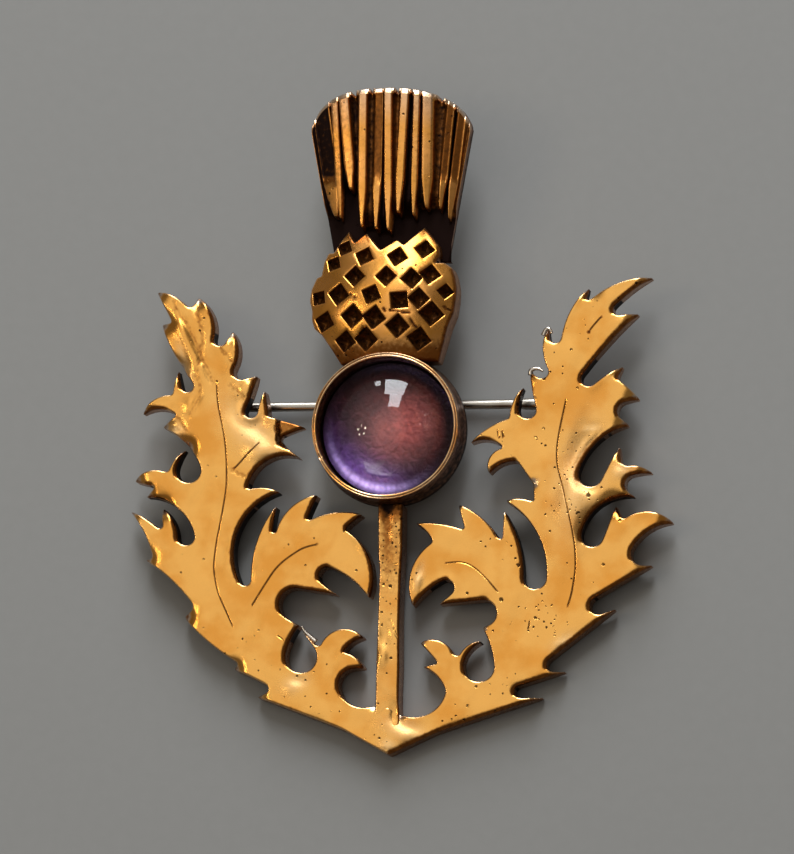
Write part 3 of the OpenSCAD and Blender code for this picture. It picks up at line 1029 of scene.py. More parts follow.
@dataclass(frozen=True)
class CrinkledFoil:
    """Tinted metal foil. Its tint is the piece's own attribute, with painted light in it."""

    name: str = "tinted_foil"
    dim: Row = (0.62, 0.55, 0.6, 1.0)
    bright: Row = (1.0, 1.0, 1.0, 1.0)
    caustic_emission: Row = (0.58, 0.5, 1.0, 1.0)
    caustic_emission_strength: float = 1.5
    crinkle: float = 0.09
    crease: float = 0.04

    def made(self, effects: Effects) -> Material:
        """The finish as a material: cells of a random net give the crinkles.

        The tint's alpha is painted light that the dome would gather on the foil, which the foil emits
        weakly there.

        Args:
            effects: the shared node groups.

        Returns:
            The material.
        """
        material, n, shader, place = new_material(self.name)
        grain = n.effect(effects.grain, place, Fine_Scale=3200.0, Broad_Scale=900.0)
        tint = n.painted("tint")
        shade = n.mix(grain["Mottle"], self.dim, self.bright)
        colored = n.add("Mix", {"data_type": "RGBA", "blend_type": "MULTIPLY"})
        for index, value in ((0, 1.0), (6, tint["Color"]), (7, shade)):
            n.put(value, colored.inputs[index])
        n.put(colored.outputs[2], shader["Base Color"])
        # Painted light: the foil emits the gathered light of the haze and the crescent
        n.put(n.mix(tint["Alpha"], (0, 0, 0, 1), self.caustic_emission), shader["Emission Color"])
        shader["Emission Strength"].default_value = self.caustic_emission_strength
        shader["Metallic"].default_value = 0.3
        shader["Roughness"].default_value = 0.5
        creases = n.add("TexVoronoi", {"feature": "DISTANCE_TO_EDGE"}, Vector=place, Scale=1400.0)
        edges = n.times(n.step(creases.outputs["Distance"], 0.0, 0.3), self.crease)
        n.relief(n.scaled(grain["Fine"], self.crinkle, edges), shader)
        return material


@dataclass
class Finishes:
    """All finishes of the brooch."""

    leaf: Material
    head: Material
    collar: Material
    fittings: Material
    steel: Material
    glass: Material
    foil: Material

    @classmethod
    def build(cls) -> "Finishes":
        """Makes every finish once.

        Returns:
            The materials.
        """
        effects = Effects()
        return cls(
            leaf=CastGold("leaf_gold").made(effects),
            head=CastGold("head_gold", metal=(0.87, 0.4, 0.1, 1), shine=0.26).made(effects),
            collar=CastGold("collar_gold", metal=(0.86, 0.6, 0.36, 1), pit_share=0.01,
                            shine=0.16, broad_bump=0.06).made(effects),
            fittings=CastGold("fitting_gold", metal=(0.7, 0.4, 0.14, 1), shine=0.32).made(effects),
            steel=DrawnSteel().made(effects),
            glass=StoneGlass().made(effects),
            foil=CrinkledFoil().made(effects),
        )


def dressed(
    sheet: Sheet, name: str, material: Material, node: str = FRAME_NODE,
    body: Body = Body.BROOCH,
) -> bpy.types.Object:
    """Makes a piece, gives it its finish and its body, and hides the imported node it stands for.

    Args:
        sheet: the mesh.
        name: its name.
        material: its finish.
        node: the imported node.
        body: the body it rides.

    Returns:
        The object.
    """
    made = sheet.shown(name)
    made.data.materials.append(material)
    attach(made, body.value)
    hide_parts(node)
    LOG.info("%s: %d faces", made.name, len(made.data.polygons))
    return made


# Leaves and stem

# A row is one thorn and the hollow that follows it: tip_out, tip_up, bow into the hollow in
# degrees, hollow_out, hollow_up, hollow_r, bow out of the hollow. Out is away from the stem.
LEFT_LEAF = np.array([
    [1.15, 4.6, 50, 2.95, 6.4, 1.4, 0], [2.1, 7.85, -29, 3.7, 9.3, 0.15, 22],
    [2.1, 10.5, -57, 6.1, 10.05, 0.3, -2], [7.5, 11.05, 0, 7.6, 8.8, 1.4, 12],
    [7.75, 11.6, 6, 8.15, 13.4, 1.42, 0], [4.4, 14.25, 8, 5.35, 15.9, 0.75, 20],
    [1.65, 13.9, -40, 3.4, 20.0, 0.25, 5], [2.2, 21.25, -21, 6.85, 20.95, 0.2, 2],
    [6.15, 23.0, -33, 9.95, 19.8, 0.19, 3], [9.75, 22.05, -20, 12.5, 15.5, 0.5, 50],
    [9.45, 23.2, -20, 12.1, 23.65, 0.2, 50], [7.65, 26.15, 5, 9.25, 27.9, 0.3, 5],
    [7.35, 28.95, -4, 10.3, 29.95, 0.2, -5], [10.85, 32.2, -5, 12.0, 30.25, 0.58, -8],
    [11.5, 33.5, 0, 12.85, 33.75, 0.72, -35], [13.8, 37.45, 5, 14.75, 36.55, 0.55, -36],
    [16.8, 40.4, 0, 17.4, 39.8, 0.37, -22], [20.45, 40.85, 4, 19.2, 38.2, 0.15, 0],
    [20.0, 38.0, -8, 17.6, 32.5, 0.55, 0], [18.5, 34.0, -3, 19.1, 31.95, 0.25, -33],
    [21.7, 30.0, 33, 18.75, 29.95, 0.14, 3], [19.95, 28.95, 23, 17.5, 25.1, 1.1, 10],
    [17.75, 27.05, -15, 19.5, 25.35, 0.38, -34], [22.4, 24.2, -5, 20.65, 23.6, 0.13, 3],
    [21.4, 22.8, 38, 17.7, 19.3, 0.77, -26], [19.85, 21.9, -6, 20.0, 20.25, 0.25, -10],
    [22.75, 21.6, 16, 21.0, 17.65, 0.3, 0], [21.45, 17.35, 11, 17.6, 13.2, 0.5, 0],
    [18.0, 12.35, -10, 13.45, 8.2, 0.22, 0], [13.6, 7.75, 3, 10.85, 6.0, 0.4, 0],
    [11.6, 5.35, 0, 7.2, -4.85, 8.0, 0],
])
RIGHT_LEAF = np.array([
    [0.9, 3.85, 50, 4.4, 5.8, 0.55, 26], [2.9, 7.95, 0, 4.1, 8.33, 0.11, 2],
    [2.7, 10.05, -48, 5.95, 9.25, 0.32, -32], [8.2, 10.2, 28, 7.85, 8.0, 1.35, 12],
    [8.15, 11.4, 0, 8.25, 12.65, 1.15, 0], [4.3, 13.4, 5, 5.0, 14.85, 0.7, 14],
    [2.1, 13.2, -39, 3.5, 18.95, 0.28, 18], [2.25, 20.5, -12, 6.4, 20.15, 0.18, 0],
    [6.05, 22.15, -21, 9.75, 19.3, 0.2, 0], [10.05, 21.65, -18, 12.75, 15.75, 1.0, 33],
    [10.15, 22.45, -20, 12.5, 22.6, 0.18, 0], [12.6, 23.95, 0, 11.0, 25.5, 0.43, 26],
    [8.75, 24.8, -50, 9.75, 27.15, 0.15, 34], [7.05, 27.45, -15, 10.3, 29.85, 0.25, -21],
    [11.8, 32.5, 10, 12.1, 30.4, 0.78, -4], [12.25, 34.0, 5, 13.35, 33.75, 0.6, -27],
    [13.9, 37.7, 0, 14.55, 36.75, 0.52, -19], [17.5, 41.2, 0, 17.45, 40.2, 0.2, -20],
    [23.1, 42.05, 8, 20.1, 39.15, 0.5, -3], [21.85, 38.9, 5, 17.45, 33.1, 0.66, -5],
    [20.45, 34.35, 0, 20.4, 33.3, 0.4, -6], [21.85, 31.4, 5, 20.75, 30.3, 0.82, -5],
    [20.95, 29.1, 29, 17.6, 24.75, 1.07, 0], [20.1, 27.35, 3, 20.85, 26.1, 0.6, -23],
    [23.0, 24.95, 8, 21.4, 23.9, 0.82, 0], [21.5, 22.85, 42, 17.75, 19.4, 0.97, 4],
    [19.75, 22.2, 0, 20.5, 21.1, 0.2, -40], [24.8, 20.6, 27, 22.1, 17.85, 1.0, 0],
    [23.0, 16.95, 0, 18.3, 13.3, 0.78, -5], [19.8, 13.15, 0, 14.35, 8.15, 0.6, 0],
    [15.45, 7.65, 0, 11.45, 5.8, 0.53, 6], [13.5, 5.4, 0, 8.6, -8.9, 12.0, 0],
])


@dataclass
class Leaves:
    """The two thorny leaves, cast in one with their base. Sizes in mm."""

    lean_deg: float = 1.6
    blunt: float = 0.1
    step: float = 0.1
    join_y: float = 4.4
    vein_half: float = 0.055
    vein_depth: float = 0.07
    vein_rows: Row = (-2.4, -1.0, 0.0, 1.0, 2.4)
    crease_half: float = 0.22
    crease_depth: float = 0.1
    casting: Casting = Casting()
    # Drop of the face at inner and outer tips, its reach there, and the reach of bare steel
    tip_drop: Row = (0.18, 0.8)
    tip_reach: Row = (0.4, 0.82)
    steel_reach: float = 0.62
    # Slow waves of the face: height, turn for each mm of X and of Y, start
    waves: Table = (
        (0.035, 0.95, 0.35, 0.6), (0.03, -0.5, 0.75, 1.9), (0.016, 2.1, -1.1, 0.0),
        (0.014, 1.3, 1.7, 2.4),
    )
    # Engraved veins as seen places, x and y
    veins: Ways = (
        ((-15.0, 32.6), (-14.9, 31.0), (-14.6, 29.6), (-14.3, 28.0), (-14.1, 26.0),
         (-14.1, 23.7), (-14.5, 21.2), (-15.0, 18.8), (-15.3, 16.5), (-14.9, 14.5),
         (-14.0, 12.4), (-13.5, 11.3)),
        ((-13.3, 25.4), (-12.2, 26.6), (-11.1, 27.6)),
        ((-11.85, 13.3), (-10.9, 14.8), (-9.9, 16.4), (-9.1, 17.2), (-7.5, 18.3), (-6.1, 18.6)),
        ((15.5, 31.2), (15.0, 29.0), (14.7, 27.2), (14.7, 25.8), (15.1, 24.0), (15.6, 22.0),
         (16.0, 20.2), (16.3, 18.5), (16.35, 16.5), (15.9, 14.0), (15.6, 13.2)),
        ((18.5, 38.4), (18.0, 37.9), (17.5, 37.2)),
        ((5.1, 17.0), (6.3, 17.15), (7.4, 16.75), (8.7, 15.5), (9.6, 14.4)),
        ((9.55, 28.5), (9.65, 27.95)), ((9.95, 28.4), (10.05, 27.9)),
        ((12.3, 11.9), (12.5, 11.5), (12.1, 11.1)), ((-9.6, 10.6), (-9.0, 10.2)),
    )
    # Brown casting creases near the left leaf's top
    creases: Ways = (
        ((-18.8, 39.9), (-18.5, 38.8), (-17.6, 38.0), (-17.0, 36.7), (-16.6, 35.5),
         (-15.9, 34.1), (-15.4, 33.0)),
        ((-16.9, 39.6), (-16.5, 38.2), (-16.2, 36.6), (-16.4, 35.0), (-16.9, 33.4)),
        ((-15.2, 36.9), (-14.6, 35.6), (-13.6, 34.6)),
        ((-16.8, 33.6), (-16.3, 32.2), (-16.7, 30.9), (-17.4, 29.8)),
        ((-13.9, 32.6), (-13.0, 32.2), (-12.6, 31.4)),
        ((-18.9, 30.2), (-18.2, 29.4), (-17.6, 28.6)),
        ((-13.8, 25.2), (-12.9, 24.8), (-12.3, 24.4)),
    )
    # Lumps of the hand-finished face: x, y, reach along, reach across, turn, height
    lumps: Table = (
        (-17.4, 35.6, 3.4, 0.45, 112, 0.14), (-18.4, 37.6, 1.6, 0.5, 110, 0.12),
        (-19.3, 29.3, 0.7, 0.4, 0, -0.14), (-18.2, 28.2, 0.8, 0.45, 60, 0.14),
        (-17.4, 30.6, 0.9, 0.4, 100, 0.12), (-20.6, 23.8, 0.9, 0.35, 20, 0.12),
        (-12.9, 32.1, 0.9, 0.6, 20, 0.12), (-11.9, 31.0, 0.6, 0.5, 60, -0.1),
        (3.3, 15.6, 1.6, 0.5, 75, -0.08), (-0.2, 1.2, 0.8, 0.5, 20, 0.1),
    )
    # Glares, tilted towards the window, where the satin column also paints a cream highlight: x, y,
    # reach along, reach across, turn
    glares: Table = (
        (-11.8, 28.4, 3.0, 1.3, -50), (16.6, 24.6, 3.6, 1.5, 78),
        (-8.1, 6.5, 0.9, 0.6, 20), (1.4, 2.4, 1.6, 0.8, -25), (0.0, 1.1, 0.6, 0.5, 0),
        (20.4, 25.4, 0.9, 0.6, 30), (15.2, 10.2, 0.9, 0.5, 30), (-18.9, 28.6, 0.8, 0.6, 0),
        (17.6, 28.9, 0.8, 0.35, 10), (2.6, 15.8, 1.0, 0.3, 75), (-17.9, 34.6, 1.6, 0.35, 105),
    )
    # Fields of casting pits: x, y, reach along, reach across, turn, share
    pitted: Table = (
        (15.4, 23.5, 4.5, 1.3, 85, 0.8), (13.2, 12.6, 3.2, 1.9, 20, 0.9),
        (8.0, 4.8, 2.8, 1.5, 30, 0.7), (-0.9, 1.5, 0.9, 0.7, 0, 0.9),
        (12.5, 27.3, 2.0, 1.2, 0, 0.4), (-6.2, 4.6, 1.9, 0.8, -20, 0.5),
        (17.3, 22.8, 1.8, 1.0, 35, 0.9), (14.2, 33.5, 2.5, 1.2, 70, 0.35),
        (17.5, 38.2, 1.4, 1.0, 50, 0.4), (-11.0, 9.0, 2.6, 1.4, -40, 0.25),
        (9.0, 18.6, 2.0, 1.0, 80, 0.3), (-12.0, 29.0, 2.5, 1.2, -50, 0.3),
    )
    # Tips that curl over: seen places along each curl
    curls: Ways = (
        ((12.4, 33.45), (12.38, 33.85), (12.75, 34.02), (13.2, 33.98), (13.5, 33.75)),
        ((13.5, 36.9), (13.72, 37.42), (14.0, 37.55), (14.22, 37.3), (14.25, 37.05)),
        ((-6.3, 10.15), (-6.8, 10.6), (-7.25, 11.0), (-7.5, 11.45)),
    )
    curl_r: float = 0.24
    curl_low: float = 0.25

    def thorns(self, rows: Array, last: Array) -> Array:
        """One leaf's outline from its table.

        Each thorn has an arc down to its hollow, the hollow's own arc, and an arc up to the next
        tip. Both outer arcs meet the hollow without a corner. A bow is the angle between an arc
        and its chord.

        Args:
            rows: the leaf's table.
            last: the point that the outline ends at.

        Returns:
            Points of the outline as out and up.
        """
        tip, middle, r = rows[:, 0:2], rows[:, 3:5], rows[:, 5]
        bow_in, bow_out = np.radians(rows[:, 2]), np.radians(rows[:, 6])
        following = np.vstack([tip[1:], last])

        def touch(point: Array, bow: Array, hand: float) -> tuple[Array, Array]:
            """Chord length and heading of the arc from a point into its hollow.

            Args:
                point: where the arcs start.
                bow: the arcs' bows.
                hand: -1 or 1, for the side.

            Returns:
                The lengths and the headings.
            """
            gap = np.linalg.norm(middle - point, axis=1)
            length = np.sqrt(gap**2 - (r * np.cos(bow)) ** 2) + r * np.sin(bow)
            return length, heading(middle - point) + hand * np.arcsin(r * np.cos(bow) / gap)

        def arc(point: Array, chord: Array, head: Array, bow: Array, part: Array) -> Array:
            """Points at parts of the arcs that start at the points.

            Args:
                point: the arcs' starts.
                chord: the arcs' chords.
                head: the chords' headings.
                bow: the arcs' bows.
                part: shares of each arc.

            Returns:
                The points of each arc.
            """
            bow = np.where(np.abs(bow) < 1e-3, 1e-3, bow)[:, None]
            size = chord[:, None] * np.sin(bow * part) / np.sin(bow)
            return point[:, None] + way(head[:, None] - bow + bow * part) * size[..., None]

        in_l, in_head = touch(tip, bow_in, -1.0)
        out_l, back_head = touch(following, bow_out, 1.0)
        enter = tip + way(in_head) * in_l[:, None]
        leave = following + way(back_head) * out_l[:, None]
        start = heading(enter - middle)
        sweep = (heading(leave - middle) - start) % (2 * math.pi)
        part = np.linspace(0.0, 1.0, 15)
        first = (self.blunt / in_l)[:, None]
        down = arc(tip, in_l, in_head, bow_in, first + (1 - first) * part)
        final = (self.blunt / out_l)[:, None]
        up = arc(leave, out_l, back_head + math.pi, bow_out, (1 - final) * part)
        turn = start[:, None] + sweep[:, None] * np.linspace(0.0, 1.0, 14)
        hollow = middle[:, None] + way(turn) * r[:, None, None]
        return np.concatenate([down, hollow, up], axis=1).reshape(-1, 2)

    def front_plane(self, x: Array) -> Array:
        """Height of the plain front: the leaf's thickness less the lean of each side."""
        return LIE.leaf_t - np.abs(x) * math.tan(math.radians(self.lean_deg))

    def on_face(self, seen: Array) -> Array:
        """Seen places set on the drawing, at the height of the plain front."""
        return LIE.seen(seen, self.front_plane(seen[:, 0]))

    def outline(self) -> Array:
        """Both leaves in one closed line that turns to the left, set on the drawing.

        Returns:
            The closed line.
        """
        point = np.array([0.0, LIE.point_y])
        right = self.thorns(RIGHT_LEAF, point)
        left = self.thorns(LEFT_LEAF, point) * [-1, 1]
        loop = np.vstack([[[0.0, self.join_y]], right, point[None], left[::-1]])[::-1]
        return soften(even_line(self.on_face(loop), self.step), 2)

    def lines(self, ways: Ways) -> tuple[Array, Array]:
        """Starts and ends of the short straight pieces of some seen ways, set on the drawing."""
        rows = [self.on_face(smooth_line(np.array(corners))) for corners in ways]
        return np.vstack([row[:-1] for row in rows]), np.vstack([row[1:] for row in rows])

    def marks(self) -> Array:
        """Rows of points beside each vein, so that the surface follows its groove.

        Returns:
            The points.
        """
        starts, ends = self.lines(self.veins)
        side = -aside(ends - starts)
        return np.vstack([starts + side * (k * self.vein_half) for k in self.vein_rows])

    def wavy(self, p: Array) -> Array:
        """Slow unevenness of the face: sines that cross each other."""
        return sum(high * np.sin(p @ (a, b) + start) for high, a, b, start in self.waves)

    def bell_rows(self, table: Table) -> Array:
        """A table of bells with its seen places set on the drawing."""
        rows = np.array(table)
        return np.column_stack([LIE.seen(rows[:, :2], LIE.leaf_t), rows[:, 2:]])

    def tips(self, p: Array) -> tuple[Array, Array]:
        """Drop of the face at each tip, more and wider on the outer thorns, and nearness to one.

        Args:
            p: places.

        Returns:
            The drop and the nearness at each place.
        """
        tips = np.vstack([RIGHT_LEAF[:, :2], LEFT_LEAF[:, :2] * [-1, 1]])
        outer = ease((np.hypot(tips[:, 0], tips[:, 1] - 20) - 14.0) / 6.0)
        away = np.linalg.norm(p[:, None, :] - self.on_face(tips)[None], axis=2)
        drop = self.tip_drop[0] + (self.tip_drop[1] - self.tip_drop[0]) * outer
        reach = self.tip_reach[0] + (self.tip_reach[1] - self.tip_reach[0]) * outer
        drops = drop * np.exp(-((away / reach) ** 2))
        return drops.max(axis=1), np.exp(-((away / self.steel_reach) ** 2)).max(axis=1)

    def low_thorn(self, p: Array) -> Array:
        """Step down to the one thorn that springs from low on the left leaf's inner wall.

        Args:
            p: places.

        Returns:
            The drops.
        """
        root = LIE.seen(np.array([[-9.75, 28.7]]), LIE.leaf_t)[0]
        near = 1.0 - ease((np.linalg.norm(p - root - [1.4, 0.1], axis=1) - 1.7) / 0.3)
        return 0.8 * ease((p[:, 0] - root[0] + 0.1) / 0.2) * near

    def groove(self, p: Array, ways: Ways, half: float) -> Array:
        """1 in the middle of some ways and 0 at the half width and beyond."""
        return fade(nearest(p, *self.lines(ways))[0], half)

    def face(self, p: Array, away: Array) -> Array:
        """Height of the front before it leans.

        Args:
            p: places.
            away: their distances from the edge.

        Returns:
            The heights.
        """
        veins = self.vein_depth * self.groove(p, self.veins, self.vein_half)
        creases = self.crease_depth * ease(self.groove(p, self.creases, self.crease_half))
        lumps = self.bell_rows(self.lumps)
        raised = self.wavy(p) + (bells(p, lumps) * lumps[:, 5]).sum(axis=1) - creases
        raised += tilted(p, self.bell_rows(self.glares))
        flat = LIE.leaf_t + ease(away / 0.9) * raised
        return np.maximum(0.6, flat - self.tips(p)[0] - self.low_thorn(p) - veins)

    def finish(self, p: Array, away: Array) -> Array:
        """Coat of the front: dark veins and brown creases, painted shade on drooping tips, a darker
        step at the low thorn, satin with a painted cream highlight at the glares, steel tips, pits.

        Args:
            p: places.
            away: their distances from the edge.

        Returns:
            A coat for each place.
        """
        droop, near = self.tips(p)
        dark = np.maximum.reduce([
            0.95 * ease(2.2 * self.groove(p, self.veins, self.vein_half)),
            0.34 * ease(self.groove(p, self.creases, 1.6 * self.crease_half)),
            # Painted shade where a tip droops, and darker on the low thorn's step
            0.3 * ease((droop - 0.3) / 0.3), 0.45 * ease(self.low_thorn(p) / 0.5),
        ])
        satin_and_glare = (bells(p, self.bell_rows(self.glares)) ** 0.7).max(axis=1)
        pitted = self.bell_rows(self.pitted)
        pits = (bells(p, pitted) * pitted[:, 5]).max(axis=1)
        steel = np.maximum.reduce([
            0.9 * ease((droop - 0.28) / 0.3), 0.75 * ease((near - 0.45) / 0.35),
            0.4 * self.casting.bare_rim(away),
        ])
        return coat(dark, satin_and_glare, steel, pits)

    def leaned(self, sheet: Sheet) -> Sheet:
        """The mesh with each side turned back about Y, by the lean times a soft sign of x.

        Args:
            sheet: the mesh.

        Returns:
            The same mesh, leaned.
        """
        x, z = sheet.points[:, 0].copy(), sheet.points[:, 2].copy()
        angle = math.radians(self.lean_deg) * np.tanh(x / 0.4)
        sheet.points[:, 0] = x * np.cos(angle) + z * np.sin(angle)
        sheet.points[:, 2] = -x * np.sin(angle) + z * np.cos(angle)
        return sheet

    def curl(self, corners: Table) -> Sheet:
        """One curled tip as a horn that thins towards its end.

        Args:
            corners: the corners of the line.

        Returns:
            The horn.
        """
        seen = smooth_line(np.array(corners), 0.06, 4)
        part = np.linspace(0, 1, len(seen))
        path = np.column_stack([self.on_face(seen), LIE.leaf_t - self.curl_low + 0.2 * part])
        return horn(path, self.curl_r * (1.0 - 0.6 * part), coat(0.1, 0, 1))

    def build(self, finishes: Finishes) -> None:
        """Makes and dresses the leaves.

        Args:
            finishes: the brooch's materials.
        """
        sheet = self.casting.make(self.outline(), self.marks(), self.face, 0.0, self.finish)
        for corners in self.curls:
            sheet = sheet.joined(self.curl(corners))
        dressed(self.leaned(sheet), "leaves", finishes.leaf)


@dataclass
class Stem:
    """The stem from the base to the collar, with a hollow in its upper half. Sizes in mm."""

    thick: float = 2.5
    proud: float = 0.25
    scratch_half: float = 0.12
    casting: Casting = Casting(spacing=0.16, wide_r=0.22)
    # Distance from the lower point, left edge, right edge
    edges: Table = (
        (1.6, -1.5, 1.2), (2.5, -1.3, 1.0), (5.0, -1.15, 0.85), (8.0, -1.05, 0.95),
        (12.0, -0.9, 0.95), (14.0, -0.85, 1.0), (16.2, -0.75, 1.1), (18.0, -0.87, 1.2),
        (22.2, -0.87, 1.26),
    )
    # Glares: x, y, reach along, reach across, turn
    glares: Table = ((-0.3, 9.8, 1.3, 0.5, 85), (0.5, 3.2, 1.2, 0.6, 80))
    # Two scratches: x and y of both ends
    scratches: Table = ((0.1, 12.0, 0.8, 10.5), (0.3, 16.8, 0.8, 16.9))

    def outline(self) -> Array:
        """The stem's edges as one closed line that turns to the left.

        Returns:
            The closed line.
        """
        rows = np.array(self.edges)
        loop = np.vstack([rows[:, [2, 0]], rows[::-1][:, [1, 0]]])
        return soften(even_line(LIE.seen(loop, LIE.leaf_t + self.proud), 0.12), 2)

    def trough(self, p: Array) -> Array:
        """The hollow, from 0 to 1: it deepens towards the collar."""
        return ease((p[:, 1] - 13.5) / 7.5) * np.exp(-(((p[:, 0] + 0.02) / 0.4) ** 2))

    def face(self, p: Array, away: Array) -> Array:
        """Height: it rises out of the base, less the trough, small lumps and scratches.

        Args:
            p: places.
            away: their distances from the edge.

        Returns:
            The heights.
        """
        rise = ease((p[:, 1] - 1.0) / 9.0)
        lumps = 0.02 * np.sin(2.3 * p[:, 1]) * np.sin(3.1 * p[:, 0] + 0.8 * p[:, 1])
        cut = 0.1 * cuts(p, self.scratches, LIE.leaf_t + self.proud, self.scratch_half)
        low = LIE.leaf_t - 0.12 + (self.proud + 0.12) * rise
        bright = tilted(p, np.array(self.glares)) * ease(away / 0.3)
        return low + bright - 0.12 * self.trough(p) - lumps - cut

    def finish(self, p: Array, away: Array) -> Array:
        """Coat: brown in the trough and painted shadow under the collar.

        Args:
            p: places.
            away: their distances from the edge.

        Returns:
            A coat for each place.
        """
        upper = ease((p[:, 1] - 9.0) / 10.0)
        # Painted shadow under the collar
        under = ease((p[:, 1] - 20.6) / 1.6)
        steel = 0.5 * self.casting.bare_rim(away)
        dark = 0.24 * upper + 0.25 * self.trough(p) + 0.5 * under
        return coat(dark, 0.12, steel, 0.3 + 0.6 * upper)

    def build(self, finishes: Finishes) -> None:
        """Makes and dresses the stem.

        Args:
            finishes: the brooch's materials.
        """
        low = LIE.leaf_t + self.proud - self.thick
        sheet = self.casting.make(self.outline(), np.zeros((0, 2)), self.face, low, self.finish)
        dressed(sheet, "stem", finishes.leaf)


# Collar, stone and foil


@dataclass
class StoneSetting:
    """The collar, the glass stone and its foil, turned about one axis. Sizes in mm."""

    seen_middle: Row = (-0.31, 29.01)
    bore_r: float = 6.1
    wall: float = 0.4
    flare: float = 0.25
    height: float = 3.7
    lift: float = 0.6
    floor: float = 0.8
    stone_r: float = 5.85
    stone_edge: float = 0.6
    stone_dome: float = 2.8
    foil_t: float = 0.12
    gap: float = 0.05
    turns: int = 240
    seam_deg: float = 204
    # Angle of the painted glints on the collar's inner wall
    glint_deg: float = 58
    # Foil colours: the maroon is the foil's own, the others are painted light
    maroon: Row = (0.060, 0.012, 0.011)
    painted_glow: Row = (1.0, 0.25, 0.17)
    painted_haze: Row = (0.34, 0.2, 1.0)
    painted_caustic: Row = (1.0, 0.9, 1.0)
    # Painted glow on the foil: x, y, reach along, reach across, turn
    painted_glow_bell: Row = (1.7, 0.2, 2.7, 2.3, 10)
    # Painted caustic crescent: its radius and its angle
    painted_caustic_r: float = 4.85
    painted_caustic_deg: float = -116

    @property
    def middle(self) -> Array:
        """The axis's place on the drawing."""
        return LIE.seen(np.array([self.seen_middle]), self.lift + self.height)[0]

    def collar(self) -> Sheet:
        """The collar: a turned profile with a double lip, slightly dented by hand, with painted glints
        on its inner wall at the upper right.

        Returns:
            The mesh.
        """
        rim_r, top, bore = self.bore_r + self.wall, self.lift + self.height, self.bore_r
        inner, base, foot = self.lift + self.floor, self.lift, rim_r + self.flare
        # Radius, height, patina
        rows = np.array([
            [0, inner, 1], [3.0, inner, 1], [5.6, inner, 1], [bore - 0.12, inner, 1],
            [bore - 0.02, inner + 0.08, 1], [bore, inner + 0.3, 0.9], [bore, inner + 1.2, 0.75],
            [bore, inner + 2.1, 0.62], [bore, top - 0.25, 0.6], [bore + 0.01, top - 0.1, 0.45],
            [bore + 0.05, top - 0.03, 0.1], [bore + 0.11, top, 0], [bore + 0.18, top - 0.02, 0],
            [bore + 0.23, top - 0.09, 0.4], [bore + 0.26, top - 0.11, 0.42],
            [rim_r - 0.09, top - 0.05, 0.1], [rim_r - 0.05, top - 0.06, 0],
            [rim_r - 0.01, top - 0.12, 0.2], [rim_r + 0.01, top - 0.25, 0.4],
            [rim_r + 0.06, top - 1.0, 0.7], [rim_r + 0.14, top - 2.2, 0.8],
            [rim_r + 0.2, top - 2.9, 0.7], [foot, base + 0.35, 0.9], [foot, base + 0.12, 0.9],
            [foot - 0.06, base, 0.7], [5.0, base, 0.5], [0, base, 0.5],
        ])

        def wobble(angle: Array, radius: Array) -> Array:
            """Unevenness of the lip, a line that is deepest at the upper right, a seam nick.

            Args:
                angle: angles round the axis.
                radius: distances from the axis.

            Returns:
                The added heights.
            """
            lip = np.exp(-(((radius - bore - 0.24) / 0.05) ** 2))
            wave = 0.016 * np.sin(3 * angle + 0.4) + 0.01 * np.sin(11 * angle)
            seam = np.exp(-(((angle - math.radians(self.seam_deg)) / 0.02) ** 2)) * (radius > bore)
            high = ease((radius - bore + 0.02) / 0.03)
            return wave * high - 0.09 * lip * (0.5 + 0.5 * np.cos(angle - 0.9)) - 0.1 * seam

        made = turned(rows[:, :2], coat(rows[:, 2], 0.2), self.turns, wobble)
        x, y, z = made.points.T
        # Painted glints: a lighter band round the upper right of the inner wall
        wall = (np.hypot(x, y) < bore + 0.03) * ease((z - top + 2.4) / 0.6)
        off = (np.arctan2(y, x) - math.radians(self.glint_deg)) / 0.45
        painted_glints = wall * np.exp(-(off**2)) * (0.6 + 0.4 * np.sin(23 * off) * np.sin(7 * z))
        made.coat[:, 0] = np.clip(made.coat[:, 0] - 0.5 * painted_glints, 0, 1)
        return made

    def stone(self) -> Sheet:
        """The cabochon: a ball's cap over a short straight edge, with its corner broken.

        Returns:
            The mesh.
        """
        base = self.lift + self.floor + self.foil_t + 2 * self.gap
        ball = (self.stone_r**2 + self.stone_dome**2) / (2 * self.stone_dome)
        edge = base + self.stone_edge
        reach = np.linspace(0.0, math.asin((self.stone_r - 0.06) / ball), 40)
        level = edge + self.stone_dome - ball * (1 - np.cos(reach))
        cap = np.stack([ball * np.sin(reach), level], axis=1)
        foot = np.array([
            [self.stone_r - 0.01, edge - 0.04], [self.stone_r, edge - 0.12],
            [self.stone_r, base + 0.12], [self.stone_r - 0.03, base + 0.03],
            [self.stone_r - 0.12, base], [3.0, base], [0.0, base],
        ])
        profile = np.vstack([cap, foot])
        back = profile[:, 1] < base + 0.01
        return turned(profile, coat(back.astype(float)), self.turns)

    def foil(self) -> Sheet:
        """The foil disc.

        Returns:
            The mesh.
        """
        low = self.lift + self.floor + self.gap
        radii = np.linspace(0.0, self.stone_r, 49)
        upper = np.stack([radii, np.full(49, low + self.foil_t)], axis=1)
        lower = np.stack([radii[::-8], np.full(7, low)], axis=1)
        return turned(np.vstack([upper, lower]), coat(np.zeros(56)), self.turns)

